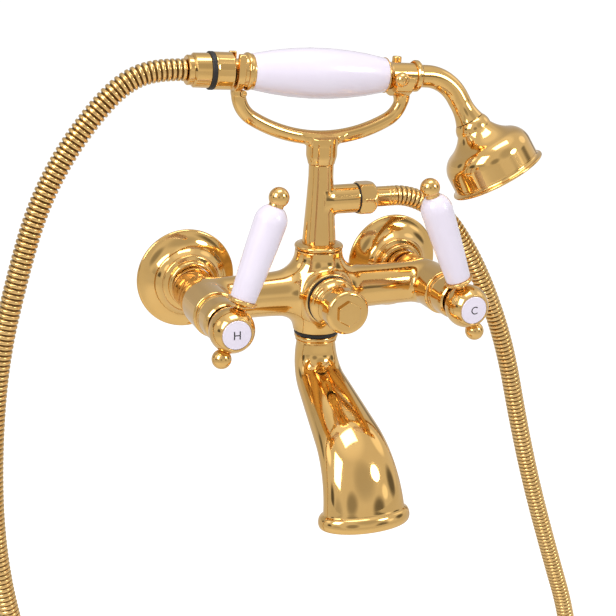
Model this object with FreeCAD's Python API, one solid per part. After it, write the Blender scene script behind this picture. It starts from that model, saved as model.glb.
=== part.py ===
import FreeCAD, Part
import math
import os

# Wall-hung bath shower mixer in polished brass with porcelain levers and a hand shower on a cradle.
# Millimetres. X runs along the wall (hot side negative), Y points into the wall, Z points up.
# The origin is on the wall, midway between the two supply pipes.

V = FreeCAD.Vector
UP = V(0, 0, 1)
OUT = V(0, -1, 0)

# Overall layout
inlet_spacing = 150.0        # between the two supply pipes, centre to centre
valve_spacing = 155.0        # between the two valve axes
body_drop = 1.2              # how far the valve axes lie below the supply pipes
standoff = 47.0              # riser, arms and spout axis from the wall

# Fits
running_gap = 0.05           # radial clearance of turning fits
seat_gap = 0.3               # clearance between pieces of different moving groups

# Wall flange and eccentric union
flange_r = 32.9
flange_wall = 1.3
flange_ring_r = 18.6
flange_neck_r = 15.4
flange_depth = 18.0
union_thread_r = 10.48
union_collar_r = 12.2
union_bore_r = 7.0
union_in_wall = 18.0
union_collar_end = 22.0
union_tail = 13.0
washer_thick = 1.5
washer_gap = 0.2

# Mixer body
arm_r = 13.8
bulb_r = 19.5
bulb_half_width = 34.0
column_r = 15.4
column_top = 27.0
column_bottom = -27.5
barrel_r = 14.6
barrel_inlet_r = 12.6
barrel_end = 77.0
waterway_r = 6.0
boss_r = 17.0
boss_end = 70.0

# Valve headwork, bonnet and spindle
headwork_r = 9.0
headwork_bore_r = 4.6
headwork_start = 60.0
disc_r = 7.6
disc_thick = 3.0
spindle_r = 3.6
bonnet_r = 13.4
bonnet_nose_r = 12.3
bonnet_end = 94.6
bonnet_wall = 0.9

# Lever handle, measured from the hub's centre along the lever
hub_centre = 105.4
hub_r = 13.7
hub_front = 9.6
hub_rear = 8.8
hub_gap = 0.4                # from the headwork's nose to the hub
index_r = 8.8
index_thick = 1.6
hub_screw_r = 3.0
lever_lean = 20.8            # towards the other lever, degrees
lever_tip_back = 2.5         # towards the wall, degrees
stem_neck_r = 3.2
cup_r = 8.9
cup_start = 15.6
cup_thick = 3.6
grip_start_r = 7.7
grip_r = 9.8
grip_length = 56.8
grip_bore_r = 2.6
tip_ball_r = 6.05
tip_ball_seat = 5.8          # from the porcelain's end to the ball's centre
lower_ball_r = 5.9
lower_ball_centre = 18.2

# Diverter
knob_r = 14.0
knob_waist_r = 10.6
knob_skirt_r = 15.2
knob_start = 71.6
knob_end = 98.2
knob_hex = 14.0              # across flats
knob_hex_height = 2.4
diverter_seal_r = 15.9
diverter_seal_thick = 1.3
cartridge_r = 10.8
cartridge_depth = 24.0
diverter_spindle_r = 3.4

# Riser
riser_ring_r = 15.6
riser_ring_height = 3.8
riser_foot_r = 10.6
riser_head_r = 7.9
riser_bore_r = 5.6
outlet_drop = 23.3           # outlet axis below the riser's top
outlet_r = 9.3
outlet_reach = 24.2
outlet_washer_thick = 0.7
outlet_thread_r = 8.2
outlet_nut_flats = 19.6
outlet_nut_corner_r = 10.9
outlet_nut_length = 12.6
outlet_ferrule_r = 6.5
outlet_ferrule_end = 52.0

# Cradle, in the handset's tilted frame
handset_height = 137.4       # handset axis above the origin, over the riser
handset_tilt = 2.6           # head end down, degrees
cradle_bar_r = 4.5
cradle_half_span = 54.6
cradle_depth = 27.5
cradle_corner_r = 18.0
cradle_top = -11.9           # from the handset axis
collar_r = 9.8
collar_height = 12.0         # from the riser's top to the cradle bar
hook_outset = 1.6            # hook's middle outside the cradle bar's end
hook_thick = 4.6
hook_reach = 11.0
hook_wall = 4.0
yoke_width = 12.0
yoke_wall = 4.4
yoke_inset = 3.4             # crutch's middle inside the cradle bar's end
yoke_front_top = -1.0
yoke_back_top = 7.1
tip_r = 4.6
post_r = 3.0
post_back = 0.9              # post's axis behind the middle of its prong
cradle_screw_r = 2.0

# Handset lengths along its axis; its stations follow from the cradle, further down
hose_collar_length = 3.4
hose_nut_length = 10.0
seal_length = 3.0
handset_nut_length = 12.3
groove_length = 5.4
ferrule_length = 6.5
cap_cone_length = 4.5
cap_lead = 11.0              # from the porcelain's end to the middle of the crutch
cap_tail = 9.4               # from the middle of the crutch to the cap's end
neck_flange_thick = 4.0
neck_straight = 5.4
hose_collar_r = 8.8
hose_nut_r = 10.1
seal_r = 11.3
handset_nut_r = 11.1
groove_r = 7.5
ferrule_r = 11.2
porcelain_end_r = 10.7
porcelain_r = 15.4
core_r = 6.2
core_bore_r = 4.6
cap_r = 11.0
cap_neck_r = 8.0
neck_flange_r = 9.9
neck_r = 7.1
neck_bore_r = 5.0
neck_bend_r = 26.0
neck_turn = 60.0             # degrees
neck_tail = 16.3
neck_end_r = 9.3
head_roll = 14.5             # shower head rolled towards the room, degrees
bell_length = 41.8
bell_r = 29.1
bell_lip_r = 31.2
bell_neck_r = 11.0
bell_wall = 1.6
plate_thick = 2.0
spray_hole_r = 0.8
spray_ring_radii = (6.5, 12.0, 17.5, 22.5)
spray_ring_counts = (6, 12, 18, 24)

# Spout
spout_seal_r = 14.6
spout_seal_thick = 2.3
spout_ring_r = 14.3
spout_ring_height = 5.2
spout_top_r = 12.6
spout_wall = 2.2
spout_tail_r = 8.9
spout_tail_bore_r = 6.4
spout_tail_length = 14.0
spout_drop = 5.5             # straight run before the first bend
spout_first_bend_r = 23.2
spout_first_turn = 66.0
spout_straight = 46.0
spout_last_bend_r = 51.0
spout_last_turn = 58.3
spout_end_straight = 5.9
spout_mouth_width = 54.7
spout_mouth_depth = 33.7
spout_width_growth = 0.9     # power of the growth along the centre line
spout_depth_growth = 1.33
spout_lip = 2.8
spout_lip_half = 4.3         # half the height of the mouth's roll
straightener_thick = 3.0
straightener_depth = 9.0
straightener_hole_r = 2.0

# Shower hose, 1.5 m long; the route is seen from the front (x, z) and hangs at the riser's distance
hose_r = 6.6
hose_valley_r = 5.9
hose_bore_r = 4.5
hose_ribs = 200
hose_start_run = 11.5
hose_end_run = 18.0
hose_route = (
    (90.0, 43.0), (109.0, 18.0), (127.0, -14.0), (145.5, -58.0), (161.0, -115.0), (178.0, -170.0),
    (200.0, -231.0), (222.0, -289.0), (233.0, -346.0), (221.0, -398.0), (186.0, -437.0),
    (134.0, -460.0), (72.0, -468.0), (9.0, -460.0), (-51.0, -436.0), (-103.0, -400.0),
    (-145.0, -354.0), (-175.0, -302.0), (-196.0, -246.0), (-208.0, -192.0), (-212.5, -136.0),
    (-210.0, -78.0), (-203.0, -24.0), (-190.0, 24.0), (-177.5, 62.5), (-161.5, 92.5),
    (-142.5, 117.5), (-124.5, 135.0))

# Derived places
valve_x = valve_spacing / 2
inlet_x = inlet_spacing / 2
body_z = -body_drop
body_start = union_collar_end + washer_thick + washer_gap
tip_ball_centre = cup_start + cup_thick + grip_length + tip_ball_seat
riser_top = handset_height + cradle_top - cradle_depth - cradle_bar_r - collar_height
outlet_height = riser_top - outlet_drop
hook_centre = -cradle_half_span - hook_outset
nut_end = hook_centre - groove_length / 2
groove_end = hook_centre + groove_length / 2
nut_start = nut_end - handset_nut_length
seal_start = nut_start - seal_length
hose_nut_start = seal_start - hose_nut_length
hose_end = hose_nut_start - hose_collar_length
grip_left = groove_end + ferrule_length
yoke_centre = cradle_half_span - yoke_inset
grip_right = yoke_centre - cap_lead
cap_cone_end = grip_right + cap_cone_length
cap_end = yoke_centre + cap_tail
flange_end = cap_end + neck_flange_thick
neck_straight_to = flange_end + neck_straight
tilt = math.radians(handset_tilt)
AXIS = V(math.cos(tilt), 0, -math.sin(tilt))
LIFT = V(math.sin(tilt), 0, math.cos(tilt))
handset_origin = V(0, -standoff, handset_height)
roll = math.radians(head_roll)
HEAD_DOWN = LIFT * -math.cos(roll) + OUT * math.sin(roll)


def along(origin, direction):
    """Placement that carries the local Z axis onto a direction."""
    return FreeCAD.Placement(origin, FreeCAD.Rotation(UP, direction))


def outline(points):
    """Closed face in the XZ plane from (along, radius) points; four numbers make an arc."""
    start = V(points[0][1], 0, points[0][0])
    here = start
    edges = []
    for item in list(points[1:]) + [points[0]]:
        end = V(item[-1], 0, item[-2])
        if len(item) == 4:
            edges.append(Part.Arc(here, V(item[1], 0, item[0]), end).toShape())
        elif (end - here).Length > 1e-6:
            edges.append(Part.LineSegment(here, end).toShape())
        here = end
    return Part.Face(Part.Wire(edges))


def turned(points, place):
    """Solid turned about a placement's Z axis."""
    solid = outline(points).revolve(V(0, 0, 0), UP, 360)
    solid.Placement = place
    return solid


def rod(radius, start, end, place):
    """Plain round bar between two stations along a placement's Z axis."""
    return turned([(start, 0), (start, radius), (end, radius), (end, 0)], place)


def tube(outer, inner, start, end, place):
    """Plain round tube between two stations along a placement's Z axis."""
    return turned([(start, inner), (start, outer), (end, outer), (end, inner)], place)


def ball(centre, radius):
    """Sphere about a point."""
    return Part.makeSphere(radius, centre)


def hexagon(flats, start, end, place, phase=0.0):
    """Hexagonal prism between two stations along a placement's Z axis."""
    corner = flats / math.sqrt(3)
    angles = [math.radians(60 * i + phase) for i in range(7)]
    ring = Part.makePolygon([V(corner * math.cos(a), corner * math.sin(a), start) for a in angles])
    prism = Part.Face(ring).extrude(V(0, 0, end - start))
    prism.Placement = place
    return prism


def save(name, shape):
    """Write one piece to its STEP file."""
    shape.exportStep("parts/" + name + ".step")


def side_name(side):
    """Which side a piece is on, seen from the front."""
    return "left" if side < 0 else "right"


def water_name(side):
    """Hot on the left, cold on the right."""
    return "hot" if side < 0 else "cold"


def inlet_axis(side):
    """Axis of a supply pipe, pointing into the room."""
    return along(V(side * inlet_x, 0, 0), OUT)


def valve_axis(side):
    """Axis of a valve, pointing into the room."""
    return along(V(side * valve_x, 0, body_z), OUT)


def body_axis(direction):
    """Axis through the middle of the body."""
    return along(V(0, -standoff, body_z), direction)


def wall_flange(side):
    """Dished rosette with a stepped ring round the union."""
    hole = union_collar_r + seat_gap
    w = flange_wall
    points = [
        (0, flange_r - 0.9), (0.3, flange_r - 0.2, 0.9, flange_r), (1.9, flange_r - 0.2, 2.6, flange_r - 1.3),
        (5.0, flange_r - 8.5, 11.6, flange_ring_r),
        (12.9, flange_ring_r + 0.1, 13.9, flange_ring_r - 0.9), (14.3, flange_neck_r + 0.2),
        (15.2, flange_neck_r), (17.4, flange_neck_r - 0.5, flange_depth, flange_neck_r - 1.6),
        (flange_depth, hole), (flange_depth - 5.0, hole), (11.6 - w, flange_ring_r - 2.2 * w),
        (4.2, flange_r - 9.4, w, flange_r - 2.6), (0, flange_r - 2.6)]
    return turned(points, inlet_axis(side))


def union(side):
    """Eccentric union: threaded into the wall pipe, with a tail that screws into the body."""
    wall = inlet_axis(side)
    valve = valve_axis(side)
    body = rod(union_thread_r, -union_in_wall, 1.0, wall)
    body = body.fuse(rod(union_collar_r, 1.0, union_collar_end, wall))
    body = body.fuse(rod(union_collar_r, union_collar_end - 2.5, union_collar_end, valve))
    body = body.fuse(rod(union_thread_r - 0.4, union_collar_end - 1.0, union_collar_end + union_tail, valve))
    body = body.cut(rod(union_bore_r - 0.5, -union_in_wall - 1, union_collar_end - 6, wall))
    return body.cut(rod(union_bore_r - 1.5, union_collar_end - 8, union_collar_end + union_tail + 1, valve))


def union_washer(side):
    """Fibre washer between the union's collar and the body."""
    start = union_collar_end + washer_gap / 2
    return tube(union_collar_r - 0.6, union_thread_r - 0.2, start, start + washer_thick, valve_axis(side))


def mixer_body():
    """Body casting: two arms and a waisted column that swell into a bulb, two barrels and a boss."""
    arm_axis = body_axis(V(1, 0, 0))
    column_axis = body_axis(UP)
    mid = bulb_half_width * 0.62
    arms = turned([
        (-valve_x, 0), (-valve_x, arm_r), (-bulb_half_width, arm_r),
        (-mid, arm_r + 1.7, -15.0, bulb_r - 1.2), (0, bulb_r + 1.2, 15.0, bulb_r - 1.2),
        (mid, arm_r + 1.7, bulb_half_width, arm_r), (valve_x, arm_r), (valve_x, 0)], arm_axis)
    low = column_bottom - body_z
    high = column_top - body_z
    column = turned([
        (low, 0), (low, column_r), (low + 2.0, column_r), (low + 9.0, column_r + 0.9, -12.0, bulb_r - 0.6),
        (0, bulb_r + 1.7, 12.0, bulb_r - 0.6), (high - 9.0, column_r + 0.9, high - 2.0, column_r),
        (high, column_r), (high, 0)], column_axis)
    boss = rod(boss_r, 0, boss_end - standoff, body_axis(OUT))
    body = arms.fuse([column, boss])
    for side in (-1, 1):
        body = body.fuse(turned([
            (body_start, 0), (body_start, barrel_inlet_r), (body_start + 10, barrel_inlet_r),
            (headwork_start - 15.0, barrel_inlet_r + 0.5, headwork_start - 2 * disc_thick, barrel_r),
            (barrel_end - 3.0, barrel_r), (barrel_end - 0.9, barrel_r - 0.4, barrel_end, barrel_r - 1.2),
            (barrel_end, 0)], valve_axis(side)))
    for side in (-1, 1):
        valve = valve_axis(side)
        body = body.cut(rod(union_thread_r, body_start - 1, union_collar_end + union_tail + 0.5, valve))
        body = body.cut(rod(waterway_r, body_start, headwork_start, valve))
        body = body.cut(rod(headwork_r + 0.02, headwork_start - disc_thick * 2, barrel_end + 1, valve))
    body = body.cut(rod(waterway_r, -valve_x, valve_x, arm_axis))
    body = body.cut(rod(waterway_r, low, high, column_axis))
    body = body.cut(rod(spout_tail_r + running_gap, low - 1, low + spout_tail_length + 0.5, column_axis))
    body = body.cut(rod(riser_foot_r - 2.0, high - 10.0, high + 1, column_axis))
    socket = boss_end - standoff
    return body.cut(rod(cartridge_r, socket - cartridge_depth, socket + 1, body_axis(OUT)))


def headwork(side):
    """Quarter-turn valve housing screwed into the barrel, with the spindle's bore."""
    nose = headwork_r - 1.4
    headwork_end = hub_centre - hub_rear - hub_gap
    points = [
        (headwork_start, headwork_bore_r + 2.0), (headwork_start, headwork_r), (barrel_end - 0.5, headwork_r),
        (barrel_end - 0.5, nose), (headwork_end, nose), (headwork_end, spindle_r + running_gap),
        (headwork_start + 8.0, spindle_r + running_gap), (headwork_start + 8.0, headwork_bore_r + 2.0)]
    return turned(points, valve_axis(side))


def ceramic_disc(side, moving):
    """Ceramic disc with a fan-shaped port, fixed in the seat or turned by the spindle."""
    start = headwork_start - 2 * disc_thick + (disc_thick if moving else 0)
    radius = disc_r if not moving else disc_r - 0.4
    disc = rod(radius, start + 0.02, start + disc_thick - 0.02, valve_axis(side))
    port = turned([(start - 1, 1.6), (start - 1, disc_r - 2.2), (start + 4, disc_r - 2.2), (start + 4, 1.6)],
                  valve_axis(side))
    wedge = Part.makeBox(disc_r * 2, disc_r * 4, disc_r * 4)
    wedge.translate(V(side * valve_x + 1.2, -headwork_start - disc_r, body_z - disc_r * 2))
    return disc.cut(port.common(wedge))


def spindle(side):
    """Spindle that carries the moving disc at one end and the hub at the other."""
    start = headwork_start + 0.02
    front = hub_centre + hub_front - index_thick - 4.5
    points = [
        (start, 0), (start, headwork_bore_r + 1.2), (start + 6.0, headwork_bore_r + 1.2),
        (start + 6.0, spindle_r), (front, spindle_r), (front, 1.6), (front - 9.0, 1.6), (front - 9.0, 0)]
    return turned(points, valve_axis(side))


def bonnet(side):
    """Tapered cover over the headwork, seated on the barrel's face."""
    inner = headwork_r - 1.4 + 0.02
    points = [
        (barrel_end, inner), (barrel_end, bonnet_r), (barrel_end + 1.6, bonnet_r),
        (barrel_end + 3.2, bonnet_r - 0.1, barrel_end + 4.0, bonnet_r - 0.5),
        (bonnet_end - 4.0, bonnet_nose_r + 0.5), (bonnet_end - 1.0, bonnet_nose_r),
        (bonnet_end, bonnet_nose_r - bonnet_wall), (bonnet_end, inner)]
    return turned(points, valve_axis(side))


def hub_point(side):
    """Centre of a handle hub."""
    return V(side * valve_x, -hub_centre, body_z)


def lever_direction(side):
    """Direction of a lever at rest, from the hub to its tip."""
    lean = math.radians(lever_lean)
    back = math.radians(lever_tip_back)
    return V(-side * math.sin(lean) * math.cos(back), math.sin(back), math.cos(lean) * math.cos(back))


def lever_axis(side):
    """Axis along a lever, from the hub's centre."""
    return along(hub_point(side), lever_direction(side))


def hub(side):
    """Rounded hub with the index disc's recess in front and a bore for the spindle."""
    valve = valve_axis(side)
    rear = hub_centre - hub_rear
    front = hub_centre + hub_front
    rear_r = math.sqrt(hub_r ** 2 - hub_rear ** 2)
    front_r = math.sqrt(hub_r ** 2 - hub_front ** 2)
    floor = front - index_thick
    screw_seat = floor - 3.5
    body = turned([
        (rear, 0), (rear, rear_r), (hub_centre, hub_r, front, front_r), (front, index_r + 0.1),
        (floor, index_r + 0.1), (floor, hub_screw_r + 0.1), (screw_seat, hub_screw_r + 0.1),
        (screw_seat, 0)], valve)
    body = body.cut(rod(spindle_r, rear - 1, screw_seat - 1.0, valve))
    body = body.cut(rod(1.7, rear, screw_seat + 1, valve))
    lever = lever_axis(side)
    body = body.cut(rod(stem_neck_r - 0.8, 7.0, hub_r + 1, lever))
    return body.cut(rod(stem_neck_r - 0.8, -hub_r - 1, -7.0, lever))


def hub_screw(side):
    """Screw that holds the hub on the spindle, under the index disc."""
    floor = hub_centre + hub_front - index_thick
    seat = floor - 3.5
    points = [(seat - 8.0, 0), (seat - 8.0, 1.55), (seat, 1.55), (seat, hub_screw_r), (seat + 2.4, hub_screw_r),
              (seat + 2.4, 1.2), (seat + 1.2, 1.2), (seat + 1.2, 0)]
    return turned(points, valve_axis(side))


def index_disc(side):
    """Porcelain disc let into the hub's front."""
    front = hub_centre + hub_front
    points = [(front - index_thick, 0), (front - index_thick, index_r), (front - 0.3, index_r),
              (front + 0.1, index_r - 0.3, front + 0.2, index_r - 1.0), (front + 0.6, 1.0), (front + 0.6, 0)]
    return turned(points, valve_axis(side))


def lever_stem(side):
    """Stem through the porcelain, with the cup that carries it."""
    cup_end = cup_start + cup_thick
    top = tip_ball_centre - tip_ball_r + 2.5
    points = [
        (7.1, 0), (7.1, stem_neck_r - 0.85), (hub_r - 0.2, stem_neck_r - 0.85), (hub_r - 0.2, stem_neck_r + 1.0),
        (hub_r + 0.6, stem_neck_r - 0.1, cup_start, stem_neck_r + 1.6),
        (cup_start + 0.9, cup_r - 2.6), (cup_start + 1.6, cup_r - 0.4, cup_start + 2.6, cup_r),
        (cup_end - 0.4, cup_r + 0.1, cup_end, cup_r - 0.8), (cup_end, grip_bore_r - 0.1),
        (top, grip_bore_r - 0.1), (top, 0)]
    return turned(points, lever_axis(side))


def lever_grip(side):
    """Porcelain lever, slimmer at the cup and rounded at the tip."""
    start = cup_start + cup_thick
    end = start + grip_length
    points = [
        (start, grip_bore_r), (start, grip_start_r), (start + grip_length * 0.42, grip_start_r + 1.3,
                                                      start + grip_length * 0.78, grip_r),
        (start + grip_length * 0.95, grip_r - 1.5, end, grip_r - 4.6), (end, grip_bore_r)]
    return turned(points, lever_axis(side))


def tip_ball(side):
    """Ball screwed on the stem's end."""
    axis = lever_axis(side)
    grip_end = cup_start + cup_thick + grip_length
    body = ball(axis.multVec(V(0, 0, tip_ball_centre)), tip_ball_r)
    body = body.fuse(rod(grip_r - 5.4, grip_end, tip_ball_centre, axis))
    return body.cut(rod(grip_bore_r - 0.1, grip_end - 1, tip_ball_centre - tip_ball_r + 2.5, axis))


def lower_ball(side):
    """Ball finial under the hub."""
    axis = lever_axis(side)
    body = ball(axis.multVec(V(0, 0, -lower_ball_centre)), lower_ball_r)
    body = body.cut(ball(hub_point(side), hub_r + 0.02))
    return body.fuse(rod(stem_neck_r - 0.85, -lower_ball_centre, -7.1, axis))


def diverter_pieces():
    """Cartridge in the boss, spindle through it, seal and knob."""
    axis = along(V(0, 0, body_z), OUT)
    seal_end = boss_end + diverter_seal_thick
    inner = diverter_spindle_r + running_gap
    cartridge = tube(cartridge_r, inner, boss_end - cartridge_depth + 0.2, boss_end, axis)
    seal = tube(diverter_seal_r, cartridge_r - 2.0, boss_end, seal_end, axis)
    shaft_end = knob_start + 14.0
    shaft = rod(diverter_spindle_r, boss_end - cartridge_depth + 2.0, shaft_end, axis)
    points = [
        (knob_start, 0), (knob_start, knob_skirt_r), (knob_start + 2.4, knob_skirt_r + 0.2,
                                                      knob_start + 3.6, knob_skirt_r - 1.0),
        (knob_start + 10.0, knob_waist_r, knob_start + 15.5, knob_waist_r + 0.6), (knob_start + 16.5, knob_r - 0.5),
        (knob_start + 17.6, knob_r), (knob_end - 3.0, knob_r),
        (knob_end - 0.8, knob_r - 0.9, knob_end, knob_r - 3.0), (knob_end, 0)]
    knob = turned(points, axis)
    knob = knob.fuse(hexagon(knob_hex, knob_end - 1.0, knob_end + knob_hex_height, axis))
    knob = knob.cut(rod(diverter_spindle_r, knob_start - 1, shaft_end, axis))
    return {"diverter_cartridge": cartridge, "diverter_seal": seal, "diverter_spindle": shaft,
            "diverter_knob": knob}


def riser_axis():
    """Vertical axis of riser and spout."""
    return along(V(0, -standoff, 0), UP)


def riser_ring():
    """Rounded ring nut at the riser's foot."""
    low = column_top
    high = low + riser_ring_height
    inner = riser_foot_r + 0.02
    points = [
        (low, inner), (low, riser_ring_r - 1.2), (low + 0.5, riser_ring_r - 0.35, low + 1.5, riser_ring_r),
        (low + 2.5, riser_ring_r - 0.2, low + 3.0, riser_ring_r - 1.6), (high, riser_foot_r + 1.4), (high, inner)]
    return turned(points, riser_axis())


def riser_pipe():
    """Tapered riser with its side outlet."""
    axis = riser_axis()
    low = column_top - 9.5
    taper_end = riser_top - 8.0
    body = turned([
        (low, 0), (low, riser_foot_r - 2.05), (column_top, riser_foot_r - 2.05), (column_top, riser_foot_r),
        (column_top + riser_ring_height + 3.0, riser_foot_r), (outlet_height + 2.0, riser_foot_r - 1.9),
        (taper_end, riser_head_r), (riser_top, riser_head_r), (riser_top, riser_bore_r + 0.95),
        (riser_top + 7.0, riser_bore_r + 0.95), (riser_top + 7.0, 0)], axis)
    outlet = along(V(0, -standoff, outlet_height), V(1, 0, 0))
    body = body.fuse(turned([
        (0, 0), (0, outlet_r), (outlet_reach, outlet_r), (outlet_reach, outlet_thread_r),
        (outlet_reach + 9.0, outlet_thread_r), (outlet_reach + 9.0, 0)], outlet))
    body = body.cut(rod(riser_bore_r, low - 1, riser_top + 8.0, axis))
    return body.cut(rod(riser_bore_r, 0, outlet_reach + 10.0, outlet))


def outlet_pieces():
    """Washer, domed hexagonal nut and hose ferrule at the riser's outlet."""
    axis = along(V(0, -standoff, outlet_height), V(1, 0, 0))
    start = outlet_reach + outlet_washer_thick
    end = start + outlet_nut_length
    washer = tube(outlet_r + 0.3, outlet_thread_r + 0.1, outlet_reach, start, axis)
    dome = turned([
        (start, outlet_thread_r + 0.02), (start, outlet_nut_corner_r - 0.9),
        (start + 1.4, outlet_nut_corner_r - 0.1, start + 3.0, outlet_nut_corner_r),
        (end - 5.0, outlet_nut_corner_r), (end - 1.6, outlet_nut_corner_r - 1.2, end, outlet_nut_corner_r - 3.6),
        (end, outlet_ferrule_r + 0.02), (end - 2.4, outlet_ferrule_r + 0.02), (end - 2.4, outlet_thread_r + 0.02)],
        axis)
    nut = dome.common(hexagon(outlet_nut_flats, start - 1, end + 1, axis, 30.0))
    inner_end = outlet_reach + 9.0
    ferrule = turned([
        (inner_end, hose_bore_r), (inner_end, outlet_thread_r - 0.1), (end - 2.5, outlet_thread_r - 0.1),
        (end - 2.5, outlet_ferrule_r), (outlet_ferrule_end - 0.6, outlet_ferrule_r),
        (outlet_ferrule_end, outlet_ferrule_r - 0.5), (outlet_ferrule_end, hose_bore_r)], axis)
    return {"outlet_washer": washer, "outlet_nut": nut, "outlet_hose_ferrule": ferrule}


def handset_axis():
    """Axis of the handset at rest in its cradle, from the hose end to the head."""
    return along(handset_origin, AXIS)


def cradle_point(across, height):
    """Point of the cradle's plane, from the handset axis over the riser."""
    return handset_origin + AXIS * across + LIFT * height


def cradle_path():
    """Half oval of the cradle bar: two corner arcs and one wide bottom arc."""
    reach = cradle_half_span - cradle_corner_r
    wide_r = ((reach ** 2 + cradle_depth ** 2 - cradle_corner_r ** 2)
              / (2 * (cradle_depth - cradle_corner_r)))
    turn = math.atan2(reach, wide_r - cradle_depth)
    def corner(side, angle):
        return cradle_point(side * (reach + cradle_corner_r * math.cos(angle)),
                            cradle_top - cradle_corner_r * math.sin(angle))
    corner_turn = math.pi / 2 - turn
    left = Part.Arc(corner(-1, 0), corner(-1, corner_turn / 2), corner(-1, corner_turn))
    bottom = Part.Arc(corner(-1, corner_turn), cradle_point(0, cradle_top - cradle_depth), corner(1, corner_turn))
    right = Part.Arc(corner(1, corner_turn), corner(1, corner_turn / 2), corner(1, 0))
    return [left.toShape(), bottom.toShape(), right.toShape()]


def cradle_fork():
    """Cradle bar with its collar on the riser, hook plate at the left and crutch at the right."""
    path = cradle_path()
    start = cradle_point(-cradle_half_span, cradle_top)
    ring = Part.Wire(Part.makeCircle(cradle_bar_r, start, LIFT))
    fork = Part.Wire(path).makePipeShell([ring], True, False)
    bar_low = handset_height + cradle_top - cradle_depth - cradle_bar_r
    collar = turned([
        (riser_top, riser_head_r - 1.1), (riser_top, riser_head_r + 0.5),
        (riser_top + 4.5, collar_r - 0.6, riser_top + 6.0, collar_r), (bar_low - 0.5, collar_r),
        (bar_low + 1.4, collar_r + 0.5, bar_low + 4.0, collar_r + 3.4), (bar_low + 5.0, collar_r + 3.4),
        (bar_low + 5.0, 0), (riser_top + 7.0, 0), (riser_top + 7.0, riser_head_r - 1.1)], riser_axis())
    slab = Part.makeBox(2 * cradle_half_span, 2 * cradle_bar_r - 0.4, 2 * cradle_depth,
                        V(-cradle_half_span, -standoff - cradle_bar_r + 0.2, riser_top))
    round_part = rod(collar_r, riser_top, bar_low + 5.0, riser_axis())
    collar = collar.common(slab.fuse(round_part))
    fork = fork.fuse(collar)
    fork = fork.fuse(hook_plate()).fuse(crutch_yoke())
    return fork.cut(cradle_screw_at(cradle_screw_r, -2.0, 2.0)).removeSplitter()


def hook_plate():
    """Thin plate that stands in the handset's groove, with a half-round notch."""
    middle = hook_centre
    frame = along(handset_origin + AXIS * (middle - hook_thick / 2), AXIS)
    notch = groove_r + seat_gap
    outer = notch + hook_wall
    plate = rod(outer, 0, hook_thick, frame)
    prongs = Part.makeBox(hook_thick, 2 * outer, hook_reach + 1)
    prongs.translate(V(middle - hook_thick / 2, -outer, 0))
    prongs.Placement = FreeCAD.Placement(handset_origin, FreeCAD.Rotation(V(0, 1, 0), handset_tilt)).multiply(
        prongs.Placement)
    upper = Part.makeBox(6 * outer, 6 * outer, 6 * outer)
    upper.translate(V(-3 * outer, -3 * outer, 0))
    upper.Placement = FreeCAD.Placement(handset_origin + LIFT * hook_reach,
                                        FreeCAD.Rotation(V(0, 1, 0), handset_tilt)).multiply(upper.Placement)
    slot = rod(notch, -1, hook_thick + 1, frame)
    slot_box = Part.makeBox(hook_thick + 2, 2 * notch, 4 * outer)
    slot_box.translate(V(middle - hook_thick / 2 - 1, -notch, 0))
    slot_box.Placement = FreeCAD.Placement(handset_origin, FreeCAD.Rotation(V(0, 1, 0), handset_tilt)).multiply(
        slot_box.Placement)
    foot = Part.makeBox(hook_thick, 2 * cradle_bar_r - 1.0, cradle_bar_r)
    foot.translate(V(middle - hook_thick / 2, -cradle_bar_r + 0.5, cradle_top - cradle_bar_r + 1.5))
    foot.Placement = FreeCAD.Placement(handset_origin, FreeCAD.Rotation(V(0, 1, 0), handset_tilt)).multiply(
        foot.Placement)
    return plate.fuse(prongs).fuse(foot).cut(upper).cut(slot).cut(slot_box)


def crutch_yoke():
    """Forked crutch round the handset's neck, open at the top, with uneven prongs."""
    frame = along(handset_origin + AXIS * (yoke_centre - yoke_width / 2), AXIS)
    inner = cap_neck_r + seat_gap
    outer = inner + yoke_wall
    level = FreeCAD.Placement(handset_origin, FreeCAD.Rotation(V(0, 1, 0), handset_tilt))
    def block(y_low, y_high, z_low, z_high):
        box = Part.makeBox(yoke_width, y_high - y_low, z_high - z_low,
                           V(yoke_centre - yoke_width / 2, y_low, z_low))
        box.Placement = level.multiply(box.Placement)
        return box
    ring = rod(outer, 0, yoke_width, frame)
    ring = ring.cut(block(-outer - 1, outer + 1, 0, outer + 1))
    back = block(inner, outer, -0.5, yoke_back_top)
    root_top = cradle_point(cradle_half_span - 1.0, cradle_top - 0.5)
    root = Part.makeCone(cradle_bar_r, cradle_bar_r - 0.8, 5.0, root_top - LIFT * 1.0, LIFT - AXIS * 0.35)
    yoke = ring.fuse(back).fuse(root)
    return yoke.cut(rod(inner, -4, yoke_width + 8, frame))


def crutch_tips():
    """Ball on the front prong and round post on the back prong."""
    inner = cap_neck_r + seat_gap
    middle = inner + yoke_wall / 2
    front = cradle_point(yoke_centre - 4.3, yoke_front_top) + OUT * (middle + 2.6)
    back = cradle_point(yoke_centre + 3.0, yoke_back_top) - OUT * (middle + post_back)
    button = ball(front, tip_r).fuse(turned([(0, 0), (0, 3.0), (3.0, 3.0), (3.0, 0)], along(front, OUT * -1)))
    post = turned([(0, 0), (0, post_r), (2.6, post_r), (3.4, post_r - 0.2, 3.8, post_r - 1.0), (3.8, 0)],
                  along(back, LIFT))
    return Part.makeCompound([button.cut(prong_space()), post])


def outer_reach():
    """Outer radius of the crutch yoke."""
    return cap_neck_r + seat_gap + yoke_wall


def prong_space():
    """The yoke's round outside, which the front button sits against."""
    return rod(outer_reach(), -yoke_width / 2, yoke_width / 2,
               along(handset_origin + AXIS * yoke_centre, AXIS))


def cradle_screw_at(radius, start, end):
    """Short round bar on the axis of the screw in the cradle's left end."""
    place = cradle_point(-cradle_half_span + 2.0, cradle_top - 0.8) + OUT * (cradle_bar_r - 0.9)
    return rod(radius, start, end, along(place, OUT))


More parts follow.
